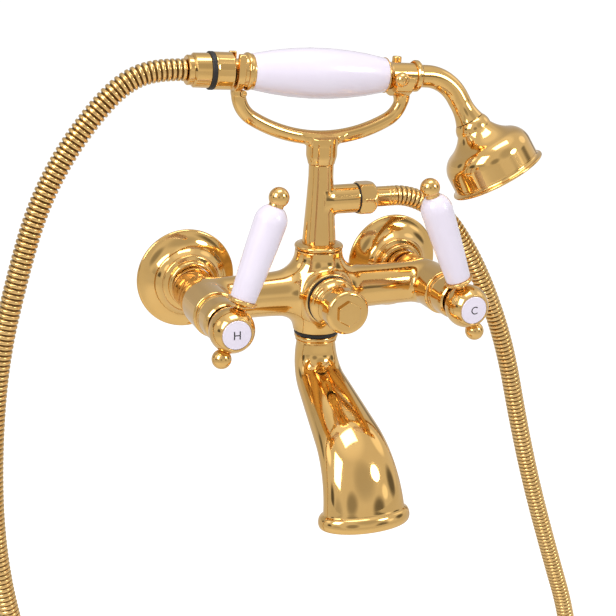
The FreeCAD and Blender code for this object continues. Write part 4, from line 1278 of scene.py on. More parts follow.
@dataclass
class Riser:
    """Tapered riser with its ring nut, side outlet, washer, nut and hose ferrule."""

    layout: Layout
    ring_r: float = 15.6
    ring_height: float = 3.8
    foot_r: float = 10.6
    head_r: float = 7.9
    top: float = 81.5
    bore_r: float = 5.6
    outlet_height: float = 58.2
    outlet_r: float = 9.3
    outlet_reach: float = 24.2
    thread_r: float = 8.2
    washer_thick: float = 0.7
    flats: float = 19.6
    corner_r: float = 10.9
    nut_length: float = 12.6
    ferrule_r: float = 6.5
    ferrule_end: float = 52.0
    hose_bore_r: float = 4.5

    def field(self, points: Array) -> Array:
        """Return the riser's field at each point."""
        layout = self.layout
        axis, outlet = layout.riser(), layout.outlet(self.outlet_height)
        z = points[:, 2]
        low = layout.column_top - 9.5
        base, top, reach, bore = layout.column_top, self.top, self.outlet_reach, self.bore_r
        radius = np.interp(z, [base + self.ring_height + 3.0, self.outlet_height + 2.0, top - 8.0],
                           [self.foot_r, self.foot_r - 1.9, self.head_r])
        pipe = round_bar(points, axis, radius, base, top, 0.4)
        pipe = np.minimum(pipe, round_bar(points, axis, self.foot_r - 2.05, low, base + 3, 0.4))
        pipe = np.minimum(pipe, round_bar(points, axis, bore + 0.95, top - 3, top + 7.0, 0.4))
        pipe = soft_min(pipe, round_bar(points, outlet, self.outlet_r, 0.0, reach, 0.5), 2.2)
        pipe = np.minimum(pipe, round_bar(points, outlet, self.thread_r, 0.0, reach + 9.0, 0.4))
        pipe = soft_max(pipe, -round_bar(points, axis, bore, low - 2, top + 9.0, 0.1), 0.2)
        return soft_max(pipe, -round_bar(points, outlet, bore, 0.0, reach + 11.0, 0.1), 0.2)

    def ring(self) -> Shell:
        """Rounded ring nut at the riser's foot."""
        low = self.layout.column_top
        high, r, inner = low + self.ring_height, self.ring_r, self.foot_r + 0.02
        return turned([
            (low, inner), (low, r - 1.2), (low + 0.5, r - 0.35, low + 1.5, r),
            (low + 2.5, r - 0.2, low + 3.0, r - 1.6), (high, self.foot_r + 1.4), (high, inner)],
            self.layout.riser(), 120)

    def nut(self) -> Shell:
        """Hexagonal nut, domed towards the hose."""
        start = self.outlet_reach + self.washer_thick
        end, c = start + self.nut_length, self.corner_r
        flat = self.flats / 2

        def six(along: Array, radius: Array, angle: Array) -> Array:
            """Cut six flats into the dome."""
            limit = flat / np.cos(off_flat(angle, pi / 3))
            return np.where(radius > self.thread_r + 0.3, np.minimum(radius, limit), radius)

        thread, ferrule = self.thread_r + 0.02, self.ferrule_r + 0.02
        return turned([
            (start, thread), (start, c - 0.9), (start + 1.4, c - 0.1, start + 3.0, c), (end - 7.0, c),
            (end - 5.0, c), (end - 1.6, c - 1.2, end, c - 3.6), (end, ferrule), (end - 2.4, ferrule),
            (end - 2.4, thread)],
            self.layout.outlet(self.outlet_height), 144, shape=six)

    def ferrule(self) -> Shell:
        """Hose ferrule held by the nut, with two crimped grooves."""
        inner = self.outlet_reach + 9.0
        nut_end = self.outlet_reach + self.washer_thick + self.nut_length
        r, e = self.ferrule_r, self.ferrule_end
        return turned([
            (inner, self.hose_bore_r), (inner, self.thread_r - 0.1), (nut_end - 2.5, self.thread_r - 0.1),
            (nut_end - 2.5, r), (e - 6.2, r), (e - 5.7, r - 0.45, e - 5.2, r), (e - 3.4, r),
            (e - 2.9, r - 0.45, e - 2.4, r), (e - 0.6, r), (e, r - 0.5), (e, self.hose_bore_r)],
            self.layout.outlet(self.outlet_height), 72)

    def build(self, shop: Workshop) -> None:
        """Build and dress the riser."""
        shell = Casting(0.55).cast("riser_pipe", self.field)
        shop.place("riser_casting", shell, Finish.CAST, "fixture", "riser_pipe")
        shop.place("riser_ring_nut", self.ring(), Finish.TURNED, "fixture", "riser_ring")
        shop.place("outlet_hexagon_nut", self.nut(), Finish.TURNED, "fixture", "outlet_nut", crease=18.0)
        shop.place("outlet_crimp", self.ferrule(), Finish.TURNED, "fixture", "outlet_hose_ferrule")
        shop.dress(Finish.RUBBER, "outlet_washer")


@dataclass
class Cradle:
    """Cradle bar with its collar, hook and crutch, the crutch's tips and a small screw."""

    layout: Layout
    bar_r: float = 4.5
    half_span: float = 54.6
    depth: float = 27.5
    corner_r: float = 18.0
    top: float = -11.9
    riser_top: float = 81.5
    riser_head_r: float = 7.9
    collar_r: float = 9.8
    hook_at: float = -56.2
    hook_thick: float = 4.6
    hook_inner: float = 7.8
    hook_outer: float = 11.8
    hook_reach: float = 11.0
    yoke_at: float = 51.2
    yoke_width: float = 12.0
    yoke_inner: float = 8.3
    yoke_outer: float = 12.7
    front_top: float = -1.0
    back_top: float = 7.1
    button_r: float = 4.6
    post_r: float = 3.0
    post_back: float = 0.9
    screw_r: float = 2.0

    def local(self, points: Array) -> Array:
        """Turn points into (along the handset, towards the wall, up from the handset)."""
        axis = self.layout.handset()
        along, up = self.layout.tilted
        rel = points - axis.origin
        return np.stack((rel @ along, rel[:, 1], rel @ up), axis=1)

    def point(self, across: float, back: float, up: float) -> Array:
        """Return a point of the cradle's own frame in the part's frame."""
        along, lift = self.layout.tilted
        return self.layout.handset().origin + along * across + np.array((0, back, 0)) + lift * up

    def bar(self, p: Array) -> Array:
        """Field of the half-oval bar: two corner arcs and one wide bottom arc."""
        u, v, w = p[:, 0], p[:, 1], p[:, 2]
        reach = self.half_span - self.corner_r
        wide = (reach ** 2 + self.depth ** 2 - self.corner_r ** 2) / (2 * (self.depth - self.corner_r))
        middle = self.top - self.depth + wide
        turn = atan2(reach, wide - self.depth)
        along = np.abs(u)
        angle = np.arctan2(along, middle - w)
        bottom = np.abs(np.hypot(along, middle - w) - wide)
        bottom = np.where(angle < turn, bottom, 1e3)
        corner = np.abs(np.hypot(along - reach, w - self.top) - self.corner_r)
        corner = np.where((w < self.top) & (angle >= turn), corner, 1e3)
        upright = np.where(w >= self.top, np.abs(along - self.half_span), 1e3)
        line = np.minimum(np.minimum(bottom, corner), upright)
        return soft_max(np.hypot(line, v) - self.bar_r, w - self.top, 0.8)

    def collar(self, points: Array) -> Array:
        """Field of the collar between the riser and the bar, flattened front and back."""
        axis = self.layout.riser()
        z = points[:, 2]
        bar_low = self.layout.handset_height + self.top - self.depth - self.bar_r
        a, b, r = self.riser_top, bar_low, self.collar_r
        radius = np.interp(z, [a, a + 2.0, a + 4.5, a + 6.0, b - 0.5, b + 1.4, b + 2.6, b + 4.0],
                           [self.riser_head_r + 0.5, r - 1.0, r - 0.25, r, r, r + 0.5, r + 1.5, r + 3.6])
        shape = round_bar(points, axis, radius, a, b + 5.0, 0.5)
        slab = np.abs(points[:, 1] + self.layout.standoff) - (self.bar_r - 0.2)
        core = round_bar(points, axis, r, a, b + 5.0, 0.5)
        return soft_max(shape, soft_min(slab, core, 1.0), 0.8)

    def hook(self, p: Array) -> Array:
        """Field of the thin plate with a half-round notch at the left end."""
        u, v, w = p[:, 0] - self.hook_at, p[:, 1], p[:, 2]
        out = np.where(w > 0, np.abs(v), np.hypot(v, w))
        plate = soft_max(out - self.hook_outer, w - self.hook_reach, 2.4)
        notch = out - self.hook_inner
        plate = soft_max(plate, -notch, 0.8)
        foot = np.maximum(np.abs(v) - self.bar_r + 0.5, np.abs(w - self.top - 0.8) - self.bar_r / 2 - 0.4)
        plate = soft_min(plate, foot, 1.0)
        return soft_max(plate, np.abs(u) - self.hook_thick / 2, 0.9)

    def yoke(self, p: Array) -> Array:
        """Field of the forked crutch round the handset's neck, open at the top."""
        u, v, w = p[:, 0] - self.yoke_at, p[:, 1], p[:, 2]
        out = np.hypot(v, w)
        ring = np.maximum(out - self.yoke_outer, w)
        middle = (self.yoke_inner + self.yoke_outer) / 2
        half = (self.yoke_outer - self.yoke_inner) / 2
        prong = np.maximum(np.abs(v - middle) - half, np.maximum(w - self.back_top, -0.5 - w))
        yoke = soft_min(ring, prong, 0.6)
        yoke = soft_max(yoke, np.abs(u) - self.yoke_width / 2, 0.9)
        root = np.hypot(np.hypot(p[:, 0] - self.half_span + 1.5 + 0.3 * (w - self.top), v),
                        np.maximum(np.abs(w - self.top - 0.5) - 2.0, 0)) - self.bar_r + 0.3
        yoke = soft_min(yoke, root, 2.0)
        return soft_max(yoke, self.yoke_inner - out, 0.3)

    def screw_axis(self) -> Axis:
        """Axis of the screw in the cradle's left end."""
        return Axis.along(self.point(-self.half_span + 2.0, -(self.bar_r - 0.9), self.top - 0.8), OUT)

    def field(self, points: Array) -> Array:
        """Return the cradle's field at each point."""
        p = self.local(points)
        body = soft_min(self.bar(p), self.collar(points), 3.0)
        left = soft_min(body, self.hook(p), 1.2)
        right = soft_min(body, self.yoke(p), 2.6)
        body = np.where(p[:, 0] < 0, left, right)
        inner = round_bar(points, self.layout.riser(), self.riser_head_r - 1.1, self.riser_top - 2,
                          self.riser_top + 7.0, 0.1)
        body = soft_max(body, -inner, 0.2)
        return soft_max(body, -round_bar(points, self.screw_axis(), self.screw_r, -2.0, 6.0, 0.1), 0.2)

    def tips(self) -> Shell:
        """Button on the front prong and round post on the back prong."""
        middle = (self.yoke_inner + self.yoke_outer) / 2
        front = self.point(self.yoke_at - 4.3, -(middle + 2.6), self.front_top)
        back = self.point(self.yoke_at + 3.0, middle + self.post_back, self.back_top)
        r = self.button_r
        button = turned([
            (-3.0, 0), (-3.0, 3.0), (-sqrt(r * r - 9.0), 3.0), (0, r, r - 0.35, 1.75), (r - 0.35, 1.2),
            (r - 1.1, 0.9), (r - 1.1, 0)], Axis.along(front, OUT), 72, ease=0.1)
        lift, p = self.layout.tilted[1], self.post_r
        post = turned([(0, 0), (0, p), (2.6, p), (3.4, p - 0.2, 3.8, p - 1.0), (3.8, 0)],
                      Axis.along(back, lift), 64)
        return Shell.joined([button, post])

    def screw(self) -> Shell:
        """Small round-headed screw with a round recess."""
        r = self.screw_r - 0.02
        return turned([(-2.0, 0), (-2.0, r), (1.0, r), (1.35, r - 0.15, 1.4, r - 0.5), (1.4, 0.75),
                       (0.9, 0.6), (0.9, 0)], self.screw_axis(), 48, ease=0.1)

    def build(self, shop: Workshop) -> None:
        """Build and dress the cradle."""
        shell = Casting(0.5).cast("cradle_fork", self.field)
        shop.place("cradle_casting", shell, Finish.CAST, "fixture", "cradle_fork")
        shop.place("crutch_button_and_post", self.tips(), Finish.TURNED, "fixture", "crutch_tips")
        shop.place("cradle_fixing_screw", self.screw(), Finish.TURNED, "fixture", "cradle_screw")


@dataclass
class Handset:
    """Hand shower: hose end, seals and nuts, porcelain grip, curved neck and bell."""

    layout: Layout
    hose_end: float = -87.6
    hose_nut_start: float = -84.2
    seal_start: float = -74.2
    nut_start: float = -71.2
    nut_end: float = -58.9
    groove_end: float = -53.5
    grip_left: float = -47.0
    grip_right: float = 40.2
    cap_cone_end: float = 44.7
    cap_end: float = 60.6
    flange_end: float = 64.6
    hose_bore_r: float = 4.5
    hose_r: float = 6.6
    collar_r: float = 8.8
    hose_nut_r: float = 10.1
    tail_r: float = 8.0
    seal_r: float = 11.3
    nut_r: float = 11.1
    nut_facets: int = 20
    groove_r: float = 7.5
    ferrule_r: float = 11.2
    porcelain_end_r: float = 10.7
    porcelain_r: float = 15.4
    core_r: float = 6.2
    core_bore_r: float = 4.6
    cap_r: float = 11.0
    cap_neck_r: float = 8.0
    disc_r: float = 9.9
    neck_r: float = 7.1
    neck_bore_r: float = 5.0
    neck_straight_to: float = 70.0
    bend_r: float = 26.0
    turn: float = 60.0
    neck_tail: float = 16.3
    neck_end_r: float = 9.3
    neck_step: float = 1.2
    head_roll: float = 14.5
    bell_length: float = 41.8
    bell_r: float = 29.1
    lip_r: float = 31.2
    bell_neck_r: float = 11.0
    bell_wall: float = 1.6

    @property
    def axis(self) -> Axis:
        """Axis of the handset, from the hose end to the head."""
        return self.layout.handset()

    def hose_collar(self) -> Shell:
        """Ferrule that swivels in the hose nut."""
        e, s = self.hose_end, self.hose_nut_start
        return turned([
            (e, self.hose_bore_r), (e, self.collar_r - 0.6), (e + 0.6, self.collar_r), (s, self.collar_r),
            (s, self.hose_r), (s + 2.9, self.hose_r), (s + 2.9, self.hose_bore_r)], self.axis)

    def hose_nut(self) -> Shell:
        """Smooth hose nut, slightly conical."""
        s, e, t = self.hose_nut_start, self.seal_start, self.tail_r + 0.05
        return turned([
            (s, self.hose_r + 0.05), (s, self.hose_nut_r - 1.2), (s + 1.0, self.hose_nut_r),
            (e, self.hose_nut_r + 0.2), (e, t), (s + 2.95, t), (s + 2.95, self.hose_r + 0.05)], self.axis)

    def seal(self) -> Shell:
        """Black ring between the two nuts."""
        a, b, r, t = self.seal_start, self.nut_start, self.seal_r, self.tail_r + 0.05
        return turned([(a, t), (a, r - 0.4), (a + 0.4, r), (b - 0.4, r), (b, r - 0.4), (b, t)], self.axis)

    def nut(self) -> Shell:
        """Nut with a band of narrow facets."""
        a, b, r, t = self.nut_start, self.nut_end - 0.3, self.nut_r, self.tail_r + 0.05
        step = 2 * pi / self.nut_facets

        def facets(along: Array, radius: Array, angle: Array) -> Array:
            """Flatten the band between its two plain edges."""
            deep = r * (1 - cos(step / 2) / np.cos(off_flat(angle, step))) * 1.5
            band = np.clip((along - a - 0.9) / 0.3, 0, 1) * np.clip((b - 1.5 - along) / 0.3, 0, 1)
            return np.where(radius > r - 0.4, radius - deep * band, radius)

        return turned([(a, t), (a, r), (a + 0.9, r), (a + 1.25, r), (b - 1.85, r), (b - 1.4, r),
                       (b - 1.3, r), (b, r - 1.9), (b, t)], self.axis, 160, shape=facets)

    def ferrule(self) -> Shell:
        """Ferrule from the nut's tail to the porcelain, with the cradle's groove."""
        g, n, r = self.groove_end, self.nut_end - 0.3, self.ferrule_r
        return turned([
            (self.hose_nut_start + 3.0, self.core_bore_r), (self.hose_nut_start + 3.0, self.tail_r),
            (n, self.tail_r), (n, self.groove_r), (g, self.groove_r), (g, r - 1.4), (g + 2.0, r - 0.9),
            (g + 3.0, r, g + 4.6, r - 0.1),
            (self.grip_left - 0.6, r - 0.5, self.grip_left, self.porcelain_end_r - 0.1),
            (self.grip_left, self.core_bore_r)], self.axis, 120)

    def grip(self) -> Shell:
        """Barrel-shaped porcelain grip."""
        inner = self.core_r + 0.05
        middle = (self.grip_left + self.grip_right) / 2 - 3.0
        return turned([
            (self.grip_left, inner), (self.grip_left, self.porcelain_end_r),
            (middle, self.porcelain_r, self.grip_right, self.porcelain_end_r), (self.grip_right, inner)],
            self.axis, 144, ease=0.5)

    def cap(self) -> Shell:
        """Flared cap after the porcelain, with the crutch's seat."""
        g, n = self.grip_right, self.cap_neck_r
        return turned([
            (g, self.core_bore_r), (g, self.cap_r), (g + 0.7, self.cap_r),
            (g + 2.2, n + 1.0, self.cap_cone_end, n), (self.cap_end, n), (self.cap_end, self.core_bore_r)],
            self.axis, 120)

    def heading(self, turn: float) -> Array:
        """Direction of the neck after it has turned down by an angle in radians."""
        along, lift = self.layout.tilted
        roll = radians(self.head_roll)
        down = lift * -cos(roll) + OUT * sin(roll)
        return along * cos(turn) + down * sin(turn)

    def neck_place(self, distance: float) -> Axis:
        """Place on the neck's centre line at a distance from the handset's middle."""
        along = self.heading(0.0)
        down = self.heading(pi / 2)
        side = np.cross(along, down)
        full = radians(self.turn)
        if distance <= self.neck_straight_to:
            return Axis.along(self.axis.at(distance), along, side)
        turn = min((distance - self.neck_straight_to) / self.bend_r, full)
        start = self.axis.at(self.neck_straight_to)
        spot = start + down * self.bend_r + (along * sin(turn) - down * cos(turn)) * self.bend_r
        rest = distance - self.neck_straight_to - full * self.bend_r
        return Axis.along(spot + self.heading(turn) * max(0.0, rest), self.heading(turn), side)

    @property
    def neck_end(self) -> float:
        """Distance of the neck's end along its centre line."""
        return self.neck_straight_to + self.bend_r * radians(self.turn) + self.neck_tail

    def neck(self) -> Shell:
        """Collar disc and curved neck that widens to the bell's joint."""
        c, f, r, end = self.cap_end, self.flange_end, self.neck_r, self.neck_end
        points = Profile([
            (c, self.neck_bore_r), (c, self.disc_r - 0.8), (c + 1.0, self.disc_r), (f - 1.4, self.disc_r),
            (f, self.disc_r - 1.2), (f, r + 0.5), (f + 0.6, r), (self.neck_straight_to, r),
            (self.neck_straight_to + 27.0, r), (end - self.neck_tail + 3.0, r),
            (end - 5.5, r + 0.5, end, self.neck_end_r), (end, self.neck_bore_r)]).points()[0]
        fine: list[Array] = []
        for a, b in zip(points, np.roll(points, -1, axis=0)):
            steps = max(1, ceil(abs(b[0] - a[0]) / self.neck_step))
            fine += [a + (b - a) * i / steps for i in range(steps)]
        return swept([(self.neck_place(along), radius, radius) for along, radius in fine], 96)

    @property
    def head(self) -> Axis:
        """Axis of the bell, from the neck's end towards the spray plate."""
        place = self.neck_place(self.neck_end)
        return Axis.along(place.origin, place.direction)

    def bell(self) -> Shell:
        """Bell of the shower head, hollow and open at the spray plate."""
        wall, lip, r, n = self.bell_wall, self.bell_length, self.bell_r, self.bell_neck_r
        return turned([
            (0.3, self.neck_end_r + 0.1), (3.0, n, 7.0, n + 0.6), (12.2, 15.6, 17.0, 22.8),
            (21.5, r - 1.9, 29.0, r), (lip - 4.4, r + 0.1), (lip - 2.2, r + 0.5, lip - 1.6, self.lip_r),
            (lip - 0.6, self.lip_r + 0.3, lip, self.lip_r - 0.6), (lip, r - wall), (29.0, r - wall),
            (22.6, r - wall - 2.2, 18.0, 21.2), (13.4, 12.4, 8.0, n - wall), (0.3, self.neck_bore_r + 0.5)],
            self.head, 144)

    def build(self, shop: Workshop) -> None:
        """Build and dress the handset."""
        brass = [("handset_hose_collar", self.hose_collar(), "handset_hose_ferrule"),
                 ("handset_smooth_nut", self.hose_nut(), "handset_hose_nut"),
                 ("handset_faceted_nut", self.nut(), "handset_nut"),
                 ("handset_grooved_ferrule", self.ferrule(), "handset_ferrule"),
                 ("handset_flared_cap", self.cap(), "handset_cap"),
                 ("handset_curved_neck", self.neck(), "handset_neck"),
                 ("handset_bell", self.bell(), "shower_bell")]
        for name, shell, node in brass:
            shop.place(name, shell, Finish.TURNED, "handset", node)
        shop.place("handset_black_ring", self.seal(), Finish.RUBBER, "handset", "handset_seal_ring")
        shop.place("handset_porcelain", self.grip(), Finish.PORCELAIN, "handset", "handset_grip")
        shop.dress(Finish.RAW_BRASS, "handset_core_tube")
        shop.dress(Finish.TURNED, "spray_plate")
        shop.dress(Finish.RUBBER, "bell_gasket")
        nozzles = SprayNozzles(self.head, self.bell_length - 0.8).make(shop)
        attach(nozzles, "handset")


@dataclass
class SprayNozzles:
    """Raised rims round the spray plate's holes, repeated on rings by a node tree."""

    head: Axis
    plate_face: float
    hole_r: float = 0.8
    rim_r: float = 0.22
    ring_radii: tuple[float, ...] = (6.5, 12.0, 17.5, 22.5)
    ring_counts: tuple[int, ...] = (6, 12, 18, 24)

    def tree(self, material: Material) -> tuple[Tree, dict[str, str]]:
        """Build the tree that sets rims on rings.

        Args:
            material: Finish of the rims.

        Returns:
            The tree, and the identifier of each input by its name.
        """
        numbers = range(1, len(self.ring_radii) + 1)
        inputs = {"Hole radius": "Float", "Rim radius": "Float"}
        for i in numbers:
            inputs |= {f"Ring radius {i}": "Float", f"Nozzles {i}": "Int"}
        tree, given, ids = start_group("spray_nozzles", inputs)
        loop = add(tree, "GeometryNodeCurvePrimitiveCircle", None,
                   {"Resolution": 16, "Radius": (given, "Hole radius")})
        edge = add(tree, "GeometryNodeCurvePrimitiveCircle", None,
                   {"Resolution": 8, "Radius": (given, "Rim radius")})
        rim = add(tree, "GeometryNodeCurveToMesh", None, {"Curve": (loop, 0), "Profile Curve": (edge, 0)})
        together = add(tree, "GeometryNodeJoinGeometry")
        for i in numbers:
            ring = add(tree, "GeometryNodeMeshCircle", None,
                       {"Vertices": (given, f"Nozzles {i}"), "Radius": (given, f"Ring radius {i}")})
            row = add(tree, "GeometryNodeInstanceOnPoints", None,
                      {"Points": (ring, 0), "Instance": (rim, 0)})
            tree.links.new(row.outputs[0], together.inputs[0])
        end_group(tree, together, material)
        return tree, ids

    def make(self, shop: Workshop) -> Piece:
        """Build the rims as one plain mesh on the spray plate."""
        tree, ids = self.tree(shop.material(Finish.TURNED))
        values = {"Hole radius": (self.hole_r + self.rim_r * 0.6) * MM, "Rim radius": self.rim_r * MM}
        for i, (radius, count) in enumerate(zip(self.ring_radii, self.ring_counts), 1):
            values |= {f"Ring radius {i}": radius * MM, f"Nozzles {i}": count}
        carrier = link("nozzle_carrier", bpy.data.meshes.new("nozzle_carrier"))
        mesh = grown(carrier, tree, ids, values)
        local = np.array([tuple(v.co) for v in mesh.vertices]) / MM
        local[:, 2] += self.plate_face
        placed = self.head.place(local) * MM
        mesh.vertices.foreach_set("co", placed.ravel())
        mesh.update()
        mesh.shade_smooth()
        rims = link("spray_nozzle_rims", mesh)
        LOG.info("spray_nozzle_rims: %d faces on %d rings", len(mesh.polygons), len(self.ring_radii))
        return rims


@dataclass
class Spout:
    """S-shaped spout that widens to a rolled oval mouth, with its ring, seal and straightener."""

    layout: Layout
    seal_r: float = 14.6
    seal_thick: float = 2.3
    ring_r: float = 14.3
    ring_height: float = 5.2
    top_r: float = 12.6
    wall: float = 2.2
    tail_r: float = 8.9
    tail_bore_r: float = 6.4
    tail_length: float = 14.0
    drop: float = 5.5
    first_bend_r: float = 23.2
    first_turn: float = 66.0
    straight: float = 46.0
    last_bend_r: float = 51.0
    last_turn: float = 58.3
    end_straight: float = 5.9
    mouth_width: float = 54.7
    mouth_depth: float = 33.7
    width_growth: float = 0.9
    depth_growth: float = 1.33
    lip: float = 2.8
    lip_half: float = 4.3

    @property
    def top(self) -> float:
        """Height of the spout's shoulder under its ring."""
        return self.layout.column_bottom - self.seal_thick - self.ring_height

    @property
    def length(self) -> float:
        """Length of the centre line to the mouth."""
        return (self.drop + self.first_bend_r * radians(self.first_turn)
                + self.last_bend_r * radians(self.last_turn) + self.straight + self.end_straight)

    def place(self, distance: float) -> Axis:
        """Place on the spout's centre line at a distance from its shoulder."""
        first, last = radians(self.first_turn), radians(self.last_turn)
        a, b = self.first_bend_r, self.last_bend_r

        def way(angle: float) -> Array:
            """Direction at an angle from straight down, towards the room."""
            return np.array((0.0, -sin(angle), -cos(angle)))

        point = np.array((0.0, -self.layout.standoff, self.top))
        if distance < self.drop:
            return Axis.along(point + way(0) * distance, way(0), RIGHT)
        point = point + way(0) * self.drop
        distance -= self.drop
        turn = min(distance, a * first) / a
        point = point + np.array((0, -a * (1 - cos(turn)), -a * sin(turn)))
        rest = distance - a * first
        if rest <= 0:
            return Axis.along(point, way(turn), RIGHT)
        point = point + way(first) * min(rest, self.straight)
        rest -= self.straight
        if rest <= 0:
            return Axis.along(point, way(first), RIGHT)
        angle = first - min(rest, b * last) / b
        forward, down = cos(angle) - cos(first), sin(first) - sin(angle)
        point = point + np.array((0, -b * forward, -b * down))
        return Axis.along(point + way(angle) * max(0.0, rest - b * last), way(angle), RIGHT)

    def half_sizes(self, distance: float) -> tuple[float, float]:
        """Half width and half depth of the outside at a distance."""
        share = max(0.0, distance) / self.length
        wider = (self.mouth_width / 2 - self.top_r) * share ** self.width_growth
        deeper = (self.mouth_depth / 2 - self.top_r) * share ** self.depth_growth
        return self.top_r + wider, self.top_r - 0.05 * min(1.0, share * 8) + deeper

    def shell(self) -> Shell:
        """Outside, rolled lip, inside and tail as one closed surface."""
        length, lip = self.length, self.lip
        rows: list[tuple[float, float, float]] = []

        def oval(distance: float, swell: float) -> None:
            """Add one oval ring, swollen or drawn in from the outside."""
            wide, deep = self.half_sizes(distance)
            rows.append((distance, wide + swell, deep + swell))

        def round_ring(distance: float, radius: float) -> None:
            """Add one round ring."""
            rows.append((distance, radius, radius))

        tail_top = -(self.layout.column_bottom + self.tail_length - 0.5 - self.top)
        seat = -(self.layout.column_bottom - self.seal_thick - self.top)
        tail, under = self.tail_r, self.top_r - 1.0
        for distance, radius in (
                (tail_top, self.tail_bore_r), (tail_top, tail - 0.4), (tail_top + 0.4, tail),
                (seat - 0.2, tail), (seat, tail), (seat, tail + 0.2), (seat, under), (seat + 0.2, under),
                (-0.3, under), (-0.02, under), (0.0, self.top_r - 0.8), (0.0, self.top_r - 0.3)):
            round_ring(distance, radius)
        oval(0.12, -0.08)
        oval(0.35, 0.0)
        half = self.lip_half
        for distance in np.linspace(1.5, length - 2.3 * half, 100):
            oval(float(distance), 0.0)
        oval(length - 2.15 * half, 0.02 * lip)
        oval(length - 2.05 * half, 0.08 * lip)
        for angle in np.linspace(0.24, pi, 26):
            oval(length - half * (1 + cos(angle)), lip * sin(angle) ** 0.85)
        for back, swell in ((0.0, -0.5), (0.0, -1.4), (0.06, -1.8), (0.3, -2.1), (0.7, -2.2)):
            oval(length - back, swell)
        for distance in np.linspace(length - 2.0, 1.0, 60):
            oval(float(distance), -self.wall)
        round_ring(0.2, self.top_r - self.wall)
        round_ring(0.0, self.top_r - self.wall - 0.2)
        round_ring(0.0, self.tail_bore_r + 0.2)
        round_ring(-0.2, self.tail_bore_r)
        return swept([(self.place(distance), wide, deep) for distance, wide, deep in rows], 144)

    def ring(self) -> Shell:
        """Collar ring with a groove round it."""
        seal_low = self.layout.column_bottom - self.seal_thick
        low, r, inner = seal_low - self.ring_height, self.ring_r, self.top_r - 0.98
        return turned([
            (low, inner), (low, r - 1.6), (low + 0.7, r - 0.7, low + 1.5, r - 1.0), (low + 1.8, r - 1.3),
            (seal_low - 1.8, r, seal_low - 0.3, r - 0.9), (seal_low, r - 1.6), (seal_low, inner)],
            self.layout.riser(), 120)

    def seal(self) -> Shell:
        """Black seal under the column."""
        top = self.layout.column_bottom - 0.05
        low, inner = self.layout.column_bottom - self.seal_thick, self.tail_r + 0.02
        return turned([(low, inner), (low, self.seal_r), (top, self.seal_r), (top, inner)],
                      self.layout.riser(), 96, ease=0.5)

    def build(self, shop: Workshop) -> None:
        """Build and dress the spout."""
        shop.place("spout_casting", self.shell(), Finish.CAST, "spout", "spout")
        shop.place("spout_collar", self.ring(), Finish.TURNED, "spout", "spout_ring")
        shop.place("spout_black_seal", self.seal(), Finish.RUBBER, "spout", "spout_seal")
        shop.dress(Finish.ACETAL, "flow_straightener")


